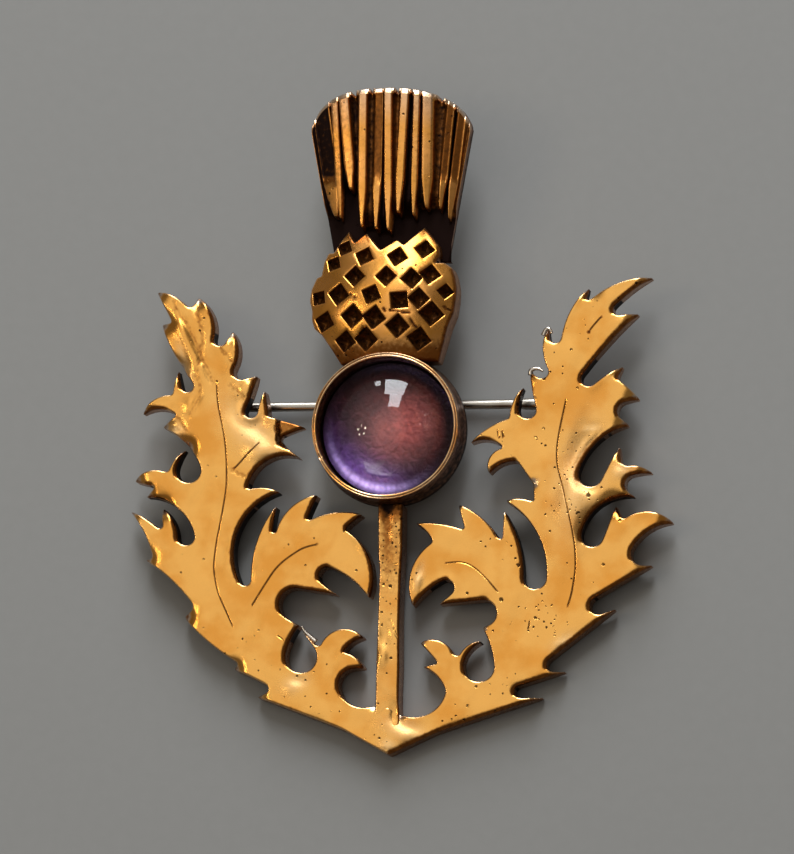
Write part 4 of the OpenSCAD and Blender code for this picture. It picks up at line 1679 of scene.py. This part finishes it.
    def tint(self, made: bpy.types.Object, sheet: Sheet) -> None:
        """Stores the foil's tint, most of which is painted light.

        It is maroon, with painted shade to the right and below, plus a painted round red glow, and
        along the lower left edge a painted violet haze with a pale crescent, a painted caustic: each is
        a bell over radius and angle. Its rim has painted shade at the upper right. Alpha is the painted
        gathered light of the haze and the crescent, which the foil emits.

        Args:
            made: the foil's object.
            sheet: its mesh.
        """
        p = sheet.points[:, :2] - self.middle
        radius, turn = np.hypot(p[:, 0], p[:, 1]), heading(p)
        off = np.angle(np.exp(1j * (turn - math.radians(self.painted_caustic_deg))))
        streaks = 0.75 + 0.25 * np.sin(47 * turn) * np.sin(19 * turn + 1.0)
        # Painted light and shade: a round red glow, and shade to the right and below
        painted_glow = bells(p, np.array([self.painted_glow_bell]))[:, 0]
        shade = 1.0 - 0.75 * ease((p @ way(np.radians(-35)) + 0.5) / 5.0)
        # Painted light: a violet haze and a pale crescent where the dome would gather light
        painted_haze = np.exp(-(((radius - 4.8) / 1.8) ** 2) - ((off + 0.15) / 0.75) ** 2)
        pale = np.exp(-(((radius - self.painted_caustic_r) / 0.36) ** 2) - (off / 0.6) ** 2) * streaks
        # Painted shade on the rim at the upper right
        far = ease((radius - 4.1) / 0.8) * ease(p @ way(np.radians(50)) / 5.0 + 0.3)
        color = (
            np.outer(shade, self.maroon) + np.outer(painted_glow * (0.4 + 0.6 * shade), self.painted_glow)
            + np.outer(painted_haze, self.painted_haze) + np.outer(pale, self.painted_caustic)
        )
        color = np.clip(color, 0, 1) * (1.0 - 0.85 * far)[:, None]
        data = np.column_stack([color, np.clip(pale + 0.01 * painted_haze, 0, 1)])
        attribute = made.data.attributes.new("tint", "FLOAT_COLOR", "POINT")
        attribute.data.foreach_set("color", data.astype(np.float32).ravel())

    def build(self, finishes: Finishes) -> None:
        """Makes and dresses the three pieces. The foil comes last and takes its tint.

        Args:
            finishes: the brooch's materials.
        """
        pieces = (
            ("collar", self.collar(), finishes.collar, FRAME_NODE, Slot.FRAME),
            ("stone", self.stone(), finishes.glass, "cabochon", Slot.STONE),
            ("foil", self.foil(), finishes.foil, "foil_disc", Slot.FOIL),
        )
        for name, sheet, material, node, slot in pieces:
            made = dressed(sheet.moved(*self.middle, 0.0), name, material, node)
        self.tint(made, sheet)


# Head


@dataclass
class Calyx:
    """The domed calyx with its square pits. Sizes in mm."""

    lift: float = 0.8
    top: float = 5.0
    dome_r: float = 11.6
    pit_depth: float = 1.3
    wall_depth: float = 0.55
    pit_grow: float = 0.07
    pit_rows: Row = (0.1, 0.02, -0.03, -0.1, -0.25, -0.42)
    middle: Row = (-0.2, 39.9)
    rim_height: float = 2.9
    collar_clear_r: float = 6.3
    casting: Casting = Casting(spacing=0.22, thin_r=0.14, wide_r=0.3)
    # Rim as seen, from the lower left round by the top
    rim: Table = (
        (-4.1, 34.3), (-4.9, 35.6), (-5.8, 36.9), (-6.5, 37.5), (-6.75, 38.3), (-6.7, 39.0),
        (-6.95, 40.0), (-6.8, 41.0), (-6.3, 42.0), (-5.85, 42.1), (-5.65, 43.4), (-5.3, 44.2),
        (-4.8, 44.15), (-4.4, 44.9), (-3.6, 46.2), (-2.9, 45.0), (-1.9, 45.9), (-0.5, 44.2),
        (0.9, 45.2), (1.5, 44.7), (3.1, 46.5), (3.9, 45.5), (4.5, 44.7), (4.6, 43.9),
        (4.25, 43.15), (5.0, 43.2), (5.6, 42.8), (5.9, 42.0), (6.05, 41.0), (6.0, 40.0),
        (5.8, 38.8), (5.3, 37.6), (4.9, 36.2), (4.4, 34.6),
    )
    # Pits: x, y, half diagonal, turn in degrees
    pits: Table = (
        (-3.85, 44.6, 0.72, 20), (-2.1, 43.85, 0.84, 25), (0.8, 43.8, 0.84, 35),
        (3.2, 44.45, 0.8, 40), (-4.8, 43.2, 0.7, 15), (-2.95, 42.1, 0.9, 42),
        (-0.2, 42.1, 0.86, 45), (2.05, 41.9, 0.88, 48), (3.65, 42.25, 0.88, 38),
        (-6.1, 40.2, 0.72, 5), (-4.35, 40.5, 0.95, 35), (-1.5, 40.5, 0.86, 22),
        (0.95, 40.0, 0.95, 5), (2.65, 40.15, 0.9, 42), (5.0, 40.75, 0.66, 40),
        (-5.6, 38.1, 0.92, 25), (-3.15, 38.6, 1.0, 38), (-1.25, 38.5, 1.0, 35),
        (0.8, 37.75, 1.0, 40), (3.75, 38.8, 1.05, 40), (-3.75, 36.4, 0.9, 35),
        (-1.95, 36.6, 1.0, 40), (2.7, 36.6, 1.0, 35),
    )
    # Ragged cracks between pits: x and y of both ends
    cracks: Table = (
        (0.2, 39.1, 1.9, 38.9), (1.9, 38.3, 2.4, 37.7), (-3.4, 40.6, -3.0, 40.3),
        (-0.2, 39.0, -0.6, 39.4), (-2.6, 37.2, -2.2, 37.6), (4.6, 39.6, 5.2, 39.3),
    )
    crack_half: float = 0.13
    crack_depth: float = 0.12

    def dome(self, away: Array) -> Array:
        """Height of the ball's cap at squared distances from the calyx's middle."""
        return self.top - self.dome_r + np.sqrt(np.maximum(self.dome_r**2 - away, 1.0))

    def pit_places(self) -> tuple[Array, Array, Array]:
        """Middle, half side and turn of each pit on the drawing.

        Returns:
            The middles, half sides and turns in radians.
        """
        rows = np.array(self.pits)
        height = self.dome(((rows[:, :2] - self.middle) ** 2).sum(axis=1))
        half = rows[:, 2] / math.sqrt(2) + self.pit_grow
        return LIE.seen(rows[:, :2], height), half, np.radians(rows[:, 3])

    def into_pit(self, p: Array) -> Array:
        """How far each point is inside the walls of the nearest pit: above 0 it is in the pit.

        Args:
            p: places.

        Returns:
            The depths inside a wall, negative outside.
        """
        at, half, turn = self.pit_places()
        rel, side = p[:, None, :] - at[None], way(turn)
        u = (rel * side).sum(axis=2)
        v = (rel * way(turn + math.pi / 2)).sum(axis=2)
        return (half - np.maximum(np.abs(u), np.abs(v))).max(axis=1)

    def marks(self) -> Array:
        """Square rows of points round each pit, at its lip, down its wall and on its floor.

        Returns:
            The points.
        """
        at, half, turn = self.pit_places()
        side = np.linspace(-1.0, 1.0, 25)[:-1]
        one = np.ones(24)
        square = np.vstack([
            np.column_stack([side, -one]), np.column_stack([one, side]),
            np.column_stack([-side, one]), np.column_stack([-one, -side]),
        ])
        sizes = half[:, None] + np.array(self.pit_rows)[None]
        c, s = np.cos(turn)[:, None, None], np.sin(turn)[:, None, None]
        u, v = sizes[..., None] * square[:, 0], sizes[..., None] * square[:, 1]
        points = np.stack([u * c - v * s, u * s + v * c], axis=3) + at[:, None, None]
        lips = points[:, :2].reshape(-1, 2)
        lips = lips[self.into_pit(lips) < 0.01]
        return np.vstack([lips, points[:, 2:].reshape(-1, 2)])

    def cracked(self, p: Array) -> Array:
        """1 in the middle of the cracks and 0 beside them."""
        return cuts(p, self.cracks, self.top, self.crack_half)

    def face(self, p: Array, away: Array) -> Array:
        """Height of the dome less its pits: a steep wall, then a floor that falls to the middle.

        Args:
            p: places.
            away: their distances from the edge; not used.

        Returns:
            The heights.
        """
        deep = self.into_pit(p)
        sloped = np.clip((deep - 0.08) / 0.42, 0, 1) * (self.pit_depth - self.wall_depth)
        lip = 0.03 * ease(1.0 + deep / 0.08) * (deep < 0)
        lumps = 0.02 * np.sin(1.9 * p[:, 0] + 0.7) * np.sin(1.6 * p[:, 1])
        sunk = self.wall_depth * ease(deep / 0.1) + sloped
        at = LIE.seen(np.array([self.middle]), self.top)[0]
        skin = self.dome(((p - at) ** 2).sum(axis=-1))
        return skin + lumps - lip - sunk - self.crack_depth * self.cracked(p)

    def finish(self, p: Array, away: Array) -> Array:
        """Coat: dark pits and cracks, brown and pitted towards the collar.

        Args:
            p: places.
            away: their distances from the edge.

        Returns:
            A coat for each place.
        """
        low = 1.0 - ease((p[:, 1] - 35.4) / 2.0)
        pits = 0.74 * ease((self.into_pit(p) + 0.015) / 0.05)
        dark = np.maximum.reduce([pits, 0.9 * ease(1.6 * self.cracked(p)), 0.5 * low])
        steel = 0.35 * self.casting.bare_rim(away)
        return coat(dark, 0.5 * low, steel, 0.6 * low)

    def build(self, finishes: Finishes) -> None:
        """Makes and dresses the calyx. Its lower edge is an arc that keeps off the collar's bore.

        Args:
            finishes: the brooch's materials.
        """
        loop = even_line(LIE.seen(np.array(self.rim), self.rim_height)[::-1], 0.08)
        middle = StoneSetting().middle
        reach = np.linalg.norm(loop - middle, axis=1, keepdims=True)
        loop = middle + (loop - middle) * np.maximum(1.0, self.collar_clear_r / reach)
        loop = soften(even_line(loop, 0.08), 2)
        sheet = self.casting.make(loop, self.marks(), self.face, self.lift, self.finish)
        dressed(sheet, "calyx", finishes.head)


@dataclass
class Tuft:
    """The fluted tuft: a fan of pointed flutes with grooves between them. Sizes in mm."""

    foot_y: float = 43.6
    shoulder_y: float = 55.2
    # Seen x of both edges at the foot and at the shoulders
    left: Row = (-4.9, -6.95)
    right: Row = (4.95, 7.05)
    rise: float = 3.4
    crown: float = 4.3
    side: float = 2.7
    mid_h: float = 3.6
    lift: float = 0.95
    floor_z: float = 1.75
    groove: float = 1.15
    bevel: float = 0.5
    bevel_drop: float = 0.26
    nick: float = 0.35
    silver_l: float = 3.5
    across_flute: int = 9
    across_groove: int = 8
    rings: int = 110
    end_rings: int = 34
    low_until_y: float = 49.8
    # Walls: share of the way down and patina there
    wall_rows: Table = ((0.06, 0.4), (0.4, 0.6), (1.0, 0.85))
    # Left and right edge at the top, x and y of the lower end, drop, darkness of the upper part, which
    # on the right flank is painted shade
    flutes: Table = (
        (-6.72, -5.25, -4.6, 47.2, 0.35, 0.78), (-5.0, -4.4, -4.2, 47.0, 0, 0.12),
        (-4.25, -3.38, -3.2, 49.4, 0, 0.08), (-2.48, -1.77, -2.25, 46.15, 0, 0),
        (-1.08, -0.38, -0.98, 45.9, 0.35, 0.5), (-0.22, 0.44, 0.1, 45.8, 0, 0),
        (1.15, 1.85, 0.95, 47.3, 0, 0), (2.3, 2.85, 2.28, 47.1, 0, 0.05),
        (3.07, 3.98, 3.4, 47.8, 0, 0), (5.1, 5.7, 4.5, 47.8, 0.3, 0.5),
        (6.05, 6.75, 5.2, 47.0, 0.25, 0.45),
    )

    def sides(self, y: Array) -> tuple[Array, Array]:
        """Left and right edge of the fan at a level."""
        part = np.minimum(1.0, (y - self.foot_y) / (self.shoulder_y - self.foot_y))
        return tuple(foot + (shoulder - foot) * part for foot, shoulder in (self.left, self.right))

    def across(self, x: Array, y: Array) -> Array:
        """Place between the fan's edges, from -1 to 1."""
        left, right = self.sides(y)
        return np.clip((2 * x - left - right) / (right - left), -1, 1)

    def top_end(self, x: Array) -> Array:
        """Level of the rounded top end: a flattened half ellipse over the shoulders."""
        part = np.abs(self.across(x, np.full_like(x, self.shoulder_y)))
        return self.shoulder_y + self.rise * np.sqrt(np.maximum(0.0, 1.0 - part**2.3))

    def columns(self) -> tuple[Array, Array]:
        """Kind and fraction of each column: kinds 0, 2, 4 are grooves, and 1, 3, 5 flutes.

        Returns:
            The kinds and the fractions.
        """
        last = 2 * len(self.flutes)
        steps = [self.across_flute if kind % 2 else self.across_groove for kind in range(last + 1)]
        parts = [np.linspace(0, 1, n, endpoint=k == last) for k, n in enumerate(steps)]
        return np.repeat(np.arange(last + 1), steps), np.concatenate(parts)

    def column_x(self, y: Array, kinds: Array, fractions: Array) -> Array:
        """Seen x of each column at levels y, between the edges of its flute or groove.

        Args:
            y: levels on the drawing.
            kinds: the columns' kinds.
            fractions: the columns' fractions.

        Returns:
            The x at each level and column.
        """
        y = np.broadcast_to(y, (y.shape[0], len(kinds)))
        rows = np.array(self.flutes)
        top = self.shoulder_y + self.rise / 2

        def edge(index: Array, hand: float) -> Array:
            """One edge of the flute with that index. A flute narrows to a point at its low end.

            Args:
                index: the flutes' rows.
                hand: -1 or 1, for the side.

            Returns:
                The x at each level.
            """
            row = rows[np.clip(index, 0, len(rows) - 1)]
            k = (y - row[:, 3]) / (top - row[:, 3])
            half = (row[:, 1] - row[:, 0]) / 2 * np.clip(3.0 * k, 0, 1) ** 0.6
            middle = row[:, 2] + ((row[:, 0] + row[:, 1]) / 2 - row[:, 2]) * np.maximum(0, k)
            return middle + hand * np.maximum(0.03, half)

        left, right = self.sides(y)
        flute = (kinds - 1) // 2
        before = np.where(kinds % 2 == 1, edge(flute, -1.0), edge(kinds // 2 - 1, 1.0))
        after = np.where(kinds % 2 == 1, edge(flute, 1.0), edge(kinds // 2, -1.0))
        before = np.where(kinds == 0, left, before)
        after = np.where(kinds == 2 * len(rows), right, after)
        return before + (after - before) * fractions

    def grid(self) -> tuple[Array, Array]:
        """The front as a grid of rings and columns.

        Columns pass over each flute and groove. A flute is flat with crisp edges, a groove has
        steep walls and a round bottom, and all end in one bevel at the top.

        Returns:
            The points and their coat.
        """
        kinds, fractions = self.columns()
        rows = np.array(self.flutes)
        flute = kinds % 2 == 1
        index = np.clip((kinds - 1) // 2, 0, len(rows) - 1)
        following = np.clip(kinds // 2, 0, len(rows) - 1)
        bulge = np.abs(2 * fractions - 1)
        outer = (kinds == 0) | (kinds == 2 * len(rows))
        at_top = self.column_x(np.full((1, 1), self.shoulder_y + self.rise / 2), kinds, fractions)
        end = self.top_end(at_top) - self.nick * np.clip(1 - 2 * bulge, 0, 1) * ~(flute | outer)
        part = np.concatenate([
            np.linspace(0.0, 0.93, self.rings), np.linspace(0.934, 1.0, self.end_rings)
        ])[:, None]
        y = self.foot_y + (end - self.foot_y) * part
        x = self.column_x(y, kinds, fractions)
        to_end = end - y
        bevel = self.bevel_drop * fade(to_end, self.bevel)
        bevel += 0.15 * fade(to_end, 0.12) ** 2
        skin = self.side + (self.crown - self.side) * (1 - np.abs(self.across(x, y)) ** 2.2)
        foot = np.where(flute, rows[index, 3], np.maximum(rows[index, 3], rows[following, 3]))
        spear = ease((y - foot) / np.where(flute, 0.35, 1.6))
        upper = ease((y - self.low_until_y) / 1.5)
        inner = np.clip(1.0 - bulge - 0.6 * (1.0 - ease((to_end - 0.1) / 0.8)), 0, 1)
        valley = self.groove * (1.0 - (1.0 - inner) ** 4) * (0.85 + 0.15 * np.sin(kinds * 2.3))
        ripple = 0.04 * np.sin(y * 2.3 + kinds * 1.7) * inner
        drop = np.where(flute, rows[index, 4] * upper + 0.05 * bulge**10, 0.06 + valley + ripple)
        drop = np.where(outer, 0.1 + 0.3 * (1.0 - bulge) * (bulge < 0.999), drop)
        z = np.maximum(self.floor_z, skin - drop - bevel)
        z = self.floor_z + (z - self.floor_z) * spear
        # Darkening of the flutes' upper parts, which on the right flank is painted shade
        darkening = np.maximum(rows[index, 5] * upper, 0.2 * bulge**12)
        depth = np.clip(0.2 + np.where(outer, 2.0, 3.2) * inner, 0, 1)
        dark = np.where(flute, darkening + 0.13, depth * (0.84 + 0.16 * np.sin(kinds * 1.9 + 1.0)))
        dark = np.where(to_end < 0.8 * self.bevel, 0.6 * dark * ~flute, dark)
        dark = np.maximum(dark, 1.0 - spear)
        steel = 0.9 * np.clip(1.2 - to_end / self.bevel, 0, 1) * (0.75 + 0.25 * flute)
        silver = 0.5 * fade(to_end, self.silver_l) * flute
        xy = LIE.seen(np.stack([x, y], axis=2), self.mid_h)
        points = np.concatenate([xy, z[..., None]], axis=2)
        return points, coat(dark, 0.08, np.maximum(steel, silver), 0.1)

    def build(self, finishes: Finishes) -> None:
        """Makes and dresses the tuft: the grid, straight walls down its rim and a flat back.

        Args:
            finishes: the brooch's materials.
        """
        points, coats = self.grid()
        rings, columns = points.shape[:2]
        ids = np.arange(rings * columns).reshape(rings, columns)
        quads = [woven(rings, columns, around=False)[:, ::-1]]
        rim = np.concatenate([ids[0, :-1], ids[:-1, -1], ids[-1, :0:-1], ids[:0:-1, 0]])
        vertices, coverings = [points.reshape(-1, 3)], [coats.reshape(-1, 4)]
        border = vertices[0][rim]
        last, count = rim, rings * columns
        for level, dark in self.wall_rows:
            z = border[:, 2] + (self.lift - border[:, 2]) * level
            vertices.append(np.column_stack([border[:, :2], z]))
            coverings.append(coat(np.full(len(rim), dark), 0.3))
            following = np.arange(count, count + len(rim))
            quads.append(strip(last, following))
            last, count = following, count + len(rim)
        sheet = Sheet(np.vstack(vertices), np.vstack(quads), np.vstack(coverings),
                      caps=[last[::-1]], sharp=np.stack([last, np.roll(last, -1)], axis=1))
        dressed(sheet, "tuft", finishes.head)


# Pin, hinge and catch


@dataclass
class PinWork:
    """The pin with its eye, the hinge with its rivet, and the catch. Sizes in mm."""

    hinge_x: float = 15.3
    pin_y: float = 31.5
    drop: float = 1.95
    turn_deg: float = -0.9
    catch_x: float = 15.8
    pin_r: float = 0.42
    pin_l: float = 33.0
    thick_r: float = 0.52
    thick_l: float = 3.0
    cone_l: float = 2.0
    taper_l: float = 4.5
    point_r: float = 0.1
    eye_r: float = 0.95
    eye_w: float = 0.9
    eye_bore_r: float = 0.45
    lug_t: float = 0.65
    gap: float = 0.05
    rivet_r: float = 0.4
    rivet_bore_r: float = 0.43
    rivet_head_r: float = 0.62
    rivet_head_t: float = 0.25
    foot_w: float = 2.8
    foot_z: float = -0.85
    catch_r: float = 1.1
    catch_bore_r: float = 0.52
    catch_l: float = 2.0
    catch_web: float = 1.3
    brown: float = 0.45
    satin_and_glare: float = 0.3

    @property
    def lug_out(self) -> float:
        """Distance from the hinge's middle to a lug's outer face."""
        return self.eye_w / 2 + self.gap + self.lug_t

    def on_line(self, sheet: Sheet) -> Sheet:
        """The mesh moved to the hinge, with its X along the pin's line."""
        c, s = way(np.radians(self.turn_deg))
        return sheet.faced((c, -s, 0), (s, c, 0), (0, 0, 1)).moved(self.hinge_x, self.pin_y, -self.drop)

    def shank(self) -> Sheet:
        """The wire: a profile turned about its own line, thick at the eye and tapered to a point.

        Returns:
            The mesh.
        """
        start, straight = self.eye_bore_r + 0.12, self.pin_l - self.taper_l
        cone, taper = np.linspace(0.0, 1.0, 8)[1:], np.linspace(0.0, 1.0, 14)[1:]
        thinner = self.thick_r + (self.pin_r - self.thick_r) * ease(cone)
        radius = self.pin_r + (self.point_r - self.pin_r) * taper**1.3
        even = np.linspace(self.thick_l + self.cone_l + 1, straight, 12)
        profile = np.vstack([
            [[0.0, start], [self.thick_r - 0.02, start], [self.thick_r, start + 0.2],
             [self.thick_r, self.thick_l]],
            np.stack([thinner, self.thick_l + self.cone_l * cone], axis=1),
            np.stack([np.full(12, self.pin_r), even], axis=1),
            np.stack([radius, straight + (self.taper_l - 0.06) * taper], axis=1),
            [[self.point_r * 0.6, self.pin_l - 0.02], [0.0, self.pin_l]],
        ])
        made = turned(profile[::-1], coat(np.zeros(len(profile))), 32)
        return made.faced((0, 0, -1), (0, 1, 0), (1, 0, 0))

    def ring(self, outer: Array, bore: float, half: float, soft: float, dark: float) -> Sheet:
        """A plate with a round bore, across Y.

        Args:
            outer: the plate's outer radius at evenly spaced angles about the bore.
            bore: the bore's radius.
            half: half the plate's thickness.
            soft: radius of its broken edges.
            dark: patina.

        Returns:
            A closed ring: at each angle its section is a rectangle with broken corners.
        """
        angle = full_turn(len(outer))[:, None]
        bend = np.radians([0, 30, 60, 90])
        corner = np.stack([np.sin(bend), np.cos(bend)], axis=1) * soft
        near, far = half - soft, outer[:, None] - soft
        close = np.full((len(outer), 1), bore + soft)
        radius = np.concatenate([
            far + corner[:, 0], far + corner[::-1, 0],
            close - corner[:, 0], close - corner[::-1, 0],
        ], axis=1)
        y = np.concatenate([
            near + corner[:, 1], -near - corner[::-1, 1],
            -near - corner[:, 1], near + corner[::-1, 1],
        ])
        rows = np.stack([
            radius * np.cos(angle), np.broadcast_to(y, radius.shape), radius * np.sin(angle),
        ], axis=2)
        finish = coat(np.full(radius.size, dark), self.satin_and_glare)
        return Sheet(rows.reshape(-1, 3), woven(*radius.shape, closed=True), finish)

    def lug(self, side: float) -> Sheet:
        """One lug of the hinge: round below, square above, up into the foot plate.

        Args:
            side: -1 or 1.

        Returns:
            The mesh.
        """
        angle = full_turn(96)
        tall = self.drop + self.foot_z + 0.35
        c, s = np.abs(np.cos(angle)), np.sin(angle)
        box = np.minimum(self.eye_r / np.maximum(c, 1e-6), tall / np.maximum(s, 1e-6))
        outer = np.where(s > 0, box, self.eye_r)
        made = self.ring(outer, self.rivet_bore_r, self.lug_t / 2, 0.07, self.brown)
        return made.moved(0, side * (self.lug_out - self.lug_t / 2), 0)

    def block(self, low: Row, high: Row, soft: float) -> Sheet:
        """A bar with rounded edges, carried along X between two corners.

        Args:
            low: the lowest corner.
            high: the highest corner.
            soft: radius of the edges.

        Returns:
            The mesh.
        """
        middle, half = np.add(low, high) / 2, np.subtract(high, low) / 2
        angle = full_turn(48)
        y = soft_box(np.cos(angle), 3 * half[1], half[1], soft)
        z = soft_box(np.sin(angle), 3 * half[2], half[2], soft)
        along = np.array([-1, -0.97, 0.97, 1.0]) * half[0]
        end = 1 - soft / half.min()
        scale = np.array([end, 1, 1, end])[:, None]
        rows = np.stack([np.repeat(along[:, None], 48, axis=1), y * scale, z * scale], axis=2)
        return carried(rows[:, ::-1] + middle, coat(self.brown, self.satin_and_glare))

    def cradle(self) -> Sheet:
        """The catch's tube, open at the back: a bent bar carried round the pin's line.

        Returns:
            The mesh.
        """
        mouth = math.asin(self.catch_bore_r / self.catch_r)
        angle = np.linspace(-math.pi / 2 + mouth, 3 * math.pi / 2 - mouth, 60)[:, None]
        half_r, half_l, soft = (self.catch_r - self.catch_bore_r) / 2, self.catch_l / 2, 0.1
        turn = full_turn(40)
        r = soft_box(np.cos(turn), 9, half_r, soft)
        x = soft_box(np.sin(turn), 9, half_l, soft)
        shrink = np.ones((60, 1))
        shrink[[0, -1]] = 0.75
        reach = (self.catch_r + self.catch_bore_r) / 2 + r * shrink
        rows = np.stack([x * shrink**0.2, reach * np.cos(angle), reach * np.sin(angle)], axis=2)
        return carried(rows, coat(self.brown, self.satin_and_glare)).moved(-self.hinge_x - self.catch_x, 0, 0)

    def rivet(self) -> Sheet:
        """The rivet: a straight shank with two domed heads, along Y.

        Returns:
            The mesh.
        """
        half = self.lug_out + self.gap / 2
        bend = np.linspace(0, math.pi / 2, 8)
        head = np.stack([self.rivet_head_r * np.sin(bend),
                         half + self.rivet_head_t * np.cos(bend)], axis=1)
        upper = np.vstack([head, [[self.rivet_head_r - 0.02, half], [self.rivet_r, half]]])
        made = turned(np.vstack([upper, upper[::-1] * [1, -1]]), coat(np.zeros(20)), 40)
        return made.faced((1, 0, 0), (0, 0, 1), (0, -1, 0))

    def build(self, finishes: Finishes) -> None:
        """Makes and dresses the pin, the rivet, the hinge and the catch.

        Args:
            finishes: the brooch's materials.
        """
        eye = self.ring(np.full(64, self.eye_r), self.eye_bore_r, self.eye_w / 2, 0.1, 0.0)
        half, wide, up = self.foot_w / 2, self.lug_out, self.drop + self.foot_z
        foot = self.block((-half, -wide, up), (half, wide, up + 1.2), 0.15)
        hinge = self.lug(-1.0).joined(self.lug(1.0)).joined(foot)
        x, half, wide = -self.hinge_x - self.catch_x, self.catch_l / 2 - 0.05, self.catch_web / 2
        web = self.block((x - half, -wide, 0.62), (x + half, wide, self.drop + 0.4), 0.12)
        catch = self.cradle().joined(web)
        steel, gold = finishes.steel, finishes.fittings
        pieces = (
            ("pin_wire", self.shank(), steel, "pin_stem", Slot.PIN, Body.PIN),
            ("pin_eye", eye, steel, "pin_stem", Slot.PIN, Body.PIN),
            ("rivet", self.rivet(), steel, "hinge_rivet", Slot.PIN, Body.BROOCH),
            ("hinge", hinge, gold, FRAME_NODE, Slot.FRAME, Body.BROOCH),
            ("catch", catch, gold, FRAME_NODE, Slot.FRAME, Body.BROOCH),
        )
        for name, sheet, material, node, slot, body in pieces:
            dressed(self.on_line(sheet), name, material, node, body)


# Studio


@dataclass(frozen=True)
class Panel:
    """A soft light: its place in metres, size, brightness and colour."""

    name: str
    place: Row
    width: float
    height: float
    brightness: float
    color: Row
    round: bool = False

    def build(self) -> None:
        """Adds the light, turned to the brooch. Its power is brightness times pi times area."""
        data = bpy.data.lights.new(self.name, "AREA")
        data.shape = "ELLIPSE" if self.round else "RECTANGLE"
        data.size, data.size_y, data.color = self.width, self.height, self.color
        area = self.width * self.height * (math.pi / 4 if self.round else 1.0)
        data.energy = self.brightness * math.pi * area
        made = in_scene(self.name, data)
        made.rotation_mode = "QUATERNION"
        made.location = self.place
        made.rotation_quaternion = Vector(self.place).to_track_quat("Z", "Y")


@dataclass(frozen=True)
class Studio:
    """Floor, lights and camera. Directions are in the row frame, lengths in metres."""

    eye: Row = (0.173648, -0.249110, 0.952780)
    right: Row = (0.984423, 0.016889, -0.175000)
    target: Row = (-0.00024, -0.000505, 0.004669)
    distance: float = 1.6
    frame_width: float = 0.069475
    floor_size: float = 3.0
    floor_color: Row = (0.25, 0.25, 0.242, 1.0)
    fill_color: Row = (1.0, 0.9, 0.78, 1.0)
    fill: float = 0.16
    plaster: Row = (1.0, 0.97, 0.92)
    daylight: Row = (0.93, 0.96, 1.0)
    panels: tuple[Panel, ...] = (
        Panel("ceiling_wide", (-0.2, 0.02, 1.0), 1.5, 1.3, 0.26, plaster, round=True),
        Panel("ceiling_mid", (-0.14, 0.05, 0.99), 1.0, 0.9, 0.27, plaster, round=True),
        Panel("ceiling_core", (-0.1, 0.06, 0.98), 0.72, 0.62, 0.24, plaster, round=True),
        Panel("window_low", (0.025, 0.727, 0.38), 0.33, 0.49, 11.0, daylight),
        Panel("window_high", (0.05, 0.486, 0.656), 0.2, 0.27, 11.0, daylight),
        Panel("window_side", (-0.257, 0.74, 0.241), 0.085, 0.3, 10.0, daylight),
    )
    lamp_place: Row = (-0.514, -0.014, 0.613)
    lamp_ring_r: float = 0.085
    bulb_width: float = 0.038
    bulb_count: int = 5
    bulb_brightness: float = 28.0
    bulb_color: Row = (1.0, 0.86, 0.62)

    def camera(self) -> None:
        """The camera on its line of sight, with the photograph's width at the brooch."""
        data = bpy.data.cameras.new("camera")
        data.sensor_fit = "HORIZONTAL"
        data.sensor_width = 36.0
        data.lens = data.sensor_width * self.distance / self.frame_width
        data.clip_start, data.clip_end = 0.01, 10.0
        made = in_scene("camera", data)
        back, right = Vector(self.eye).normalized(), Vector(self.right).normalized()
        turn = Matrix((right, back.cross(right).normalized(), back)).transposed().to_4x4()
        made.matrix_world = Matrix.Translation(Vector(self.target) + back * self.distance) @ turn
        bpy.context.scene.camera = made

    def lamp(self) -> None:
        """The ring of small bulbs, in the plane that faces the brooch."""
        back = Vector(self.lamp_place).normalized()
        side = Vector((0, 1, 0)).cross(back).normalized()
        over = back.cross(side)
        for k in range(self.bulb_count):
            turn = 2 * math.pi * k / self.bulb_count + 0.3
            ring = (side * math.cos(turn) + over * math.sin(turn)) * self.lamp_ring_r
            place = tuple(Vector(self.lamp_place) + ring)
            Panel(f"bulb_{k}", place, self.bulb_width, self.bulb_width,
                  self.bulb_brightness, self.bulb_color, round=True).build()

    def floor(self) -> None:
        """A plain pale floor under the brooch, with a faint grain."""
        side = np.linspace(-self.floor_size / 2, self.floor_size / 2, 5)
        x, y = np.meshgrid(side, side)
        points = np.column_stack([x.ravel(), y.ravel(), np.zeros(25)])
        mesh = bpy.data.meshes.new("floor")
        mesh.from_pydata(points.tolist(), [], woven(5, 5, around=False)[:, ::-1].tolist())
        material, n, shader, place = new_material("pale_floor")
        darker = tuple(0.94 * c for c in self.floor_color[:3]) + (1.0,)
        n.put(n.mix(n.noise(place, 900.0, 3.0), self.floor_color, darker), shader["Base Color"])
        shader["Roughness"].default_value = 0.85
        mesh.materials.append(material)
        made = in_scene("floor", mesh)

    def build(self) -> None:
        """Sets up the floor, the lights, the camera and the even light all round."""
        scene = bpy.context.scene
        scene.view_settings.view_transform = "Standard"
        world = bpy.data.worlds.new("studio")
        world.use_nodes = True
        background = world.node_tree.nodes["Background"].inputs
        background["Color"].default_value = self.fill_color
        background["Strength"].default_value = self.fill
        scene.world = world
        for panel in self.panels:
            panel.build()
        self.lamp()
        self.floor()
        self.camera()


def main() -> None:
    """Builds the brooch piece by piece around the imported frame."""
    logging.basicConfig(level=logging.INFO, format="%(name)s: %(message)s")
    finishes = Finishes.build()
    for part in (Leaves(), Stem(), StoneSetting(), Calyx(), Tuft(), PinWork()):
        LOG.info("building %s", type(part).__name__)
        part.build(finishes)
    Studio().build()


if __name__ == "__main__":
    main()
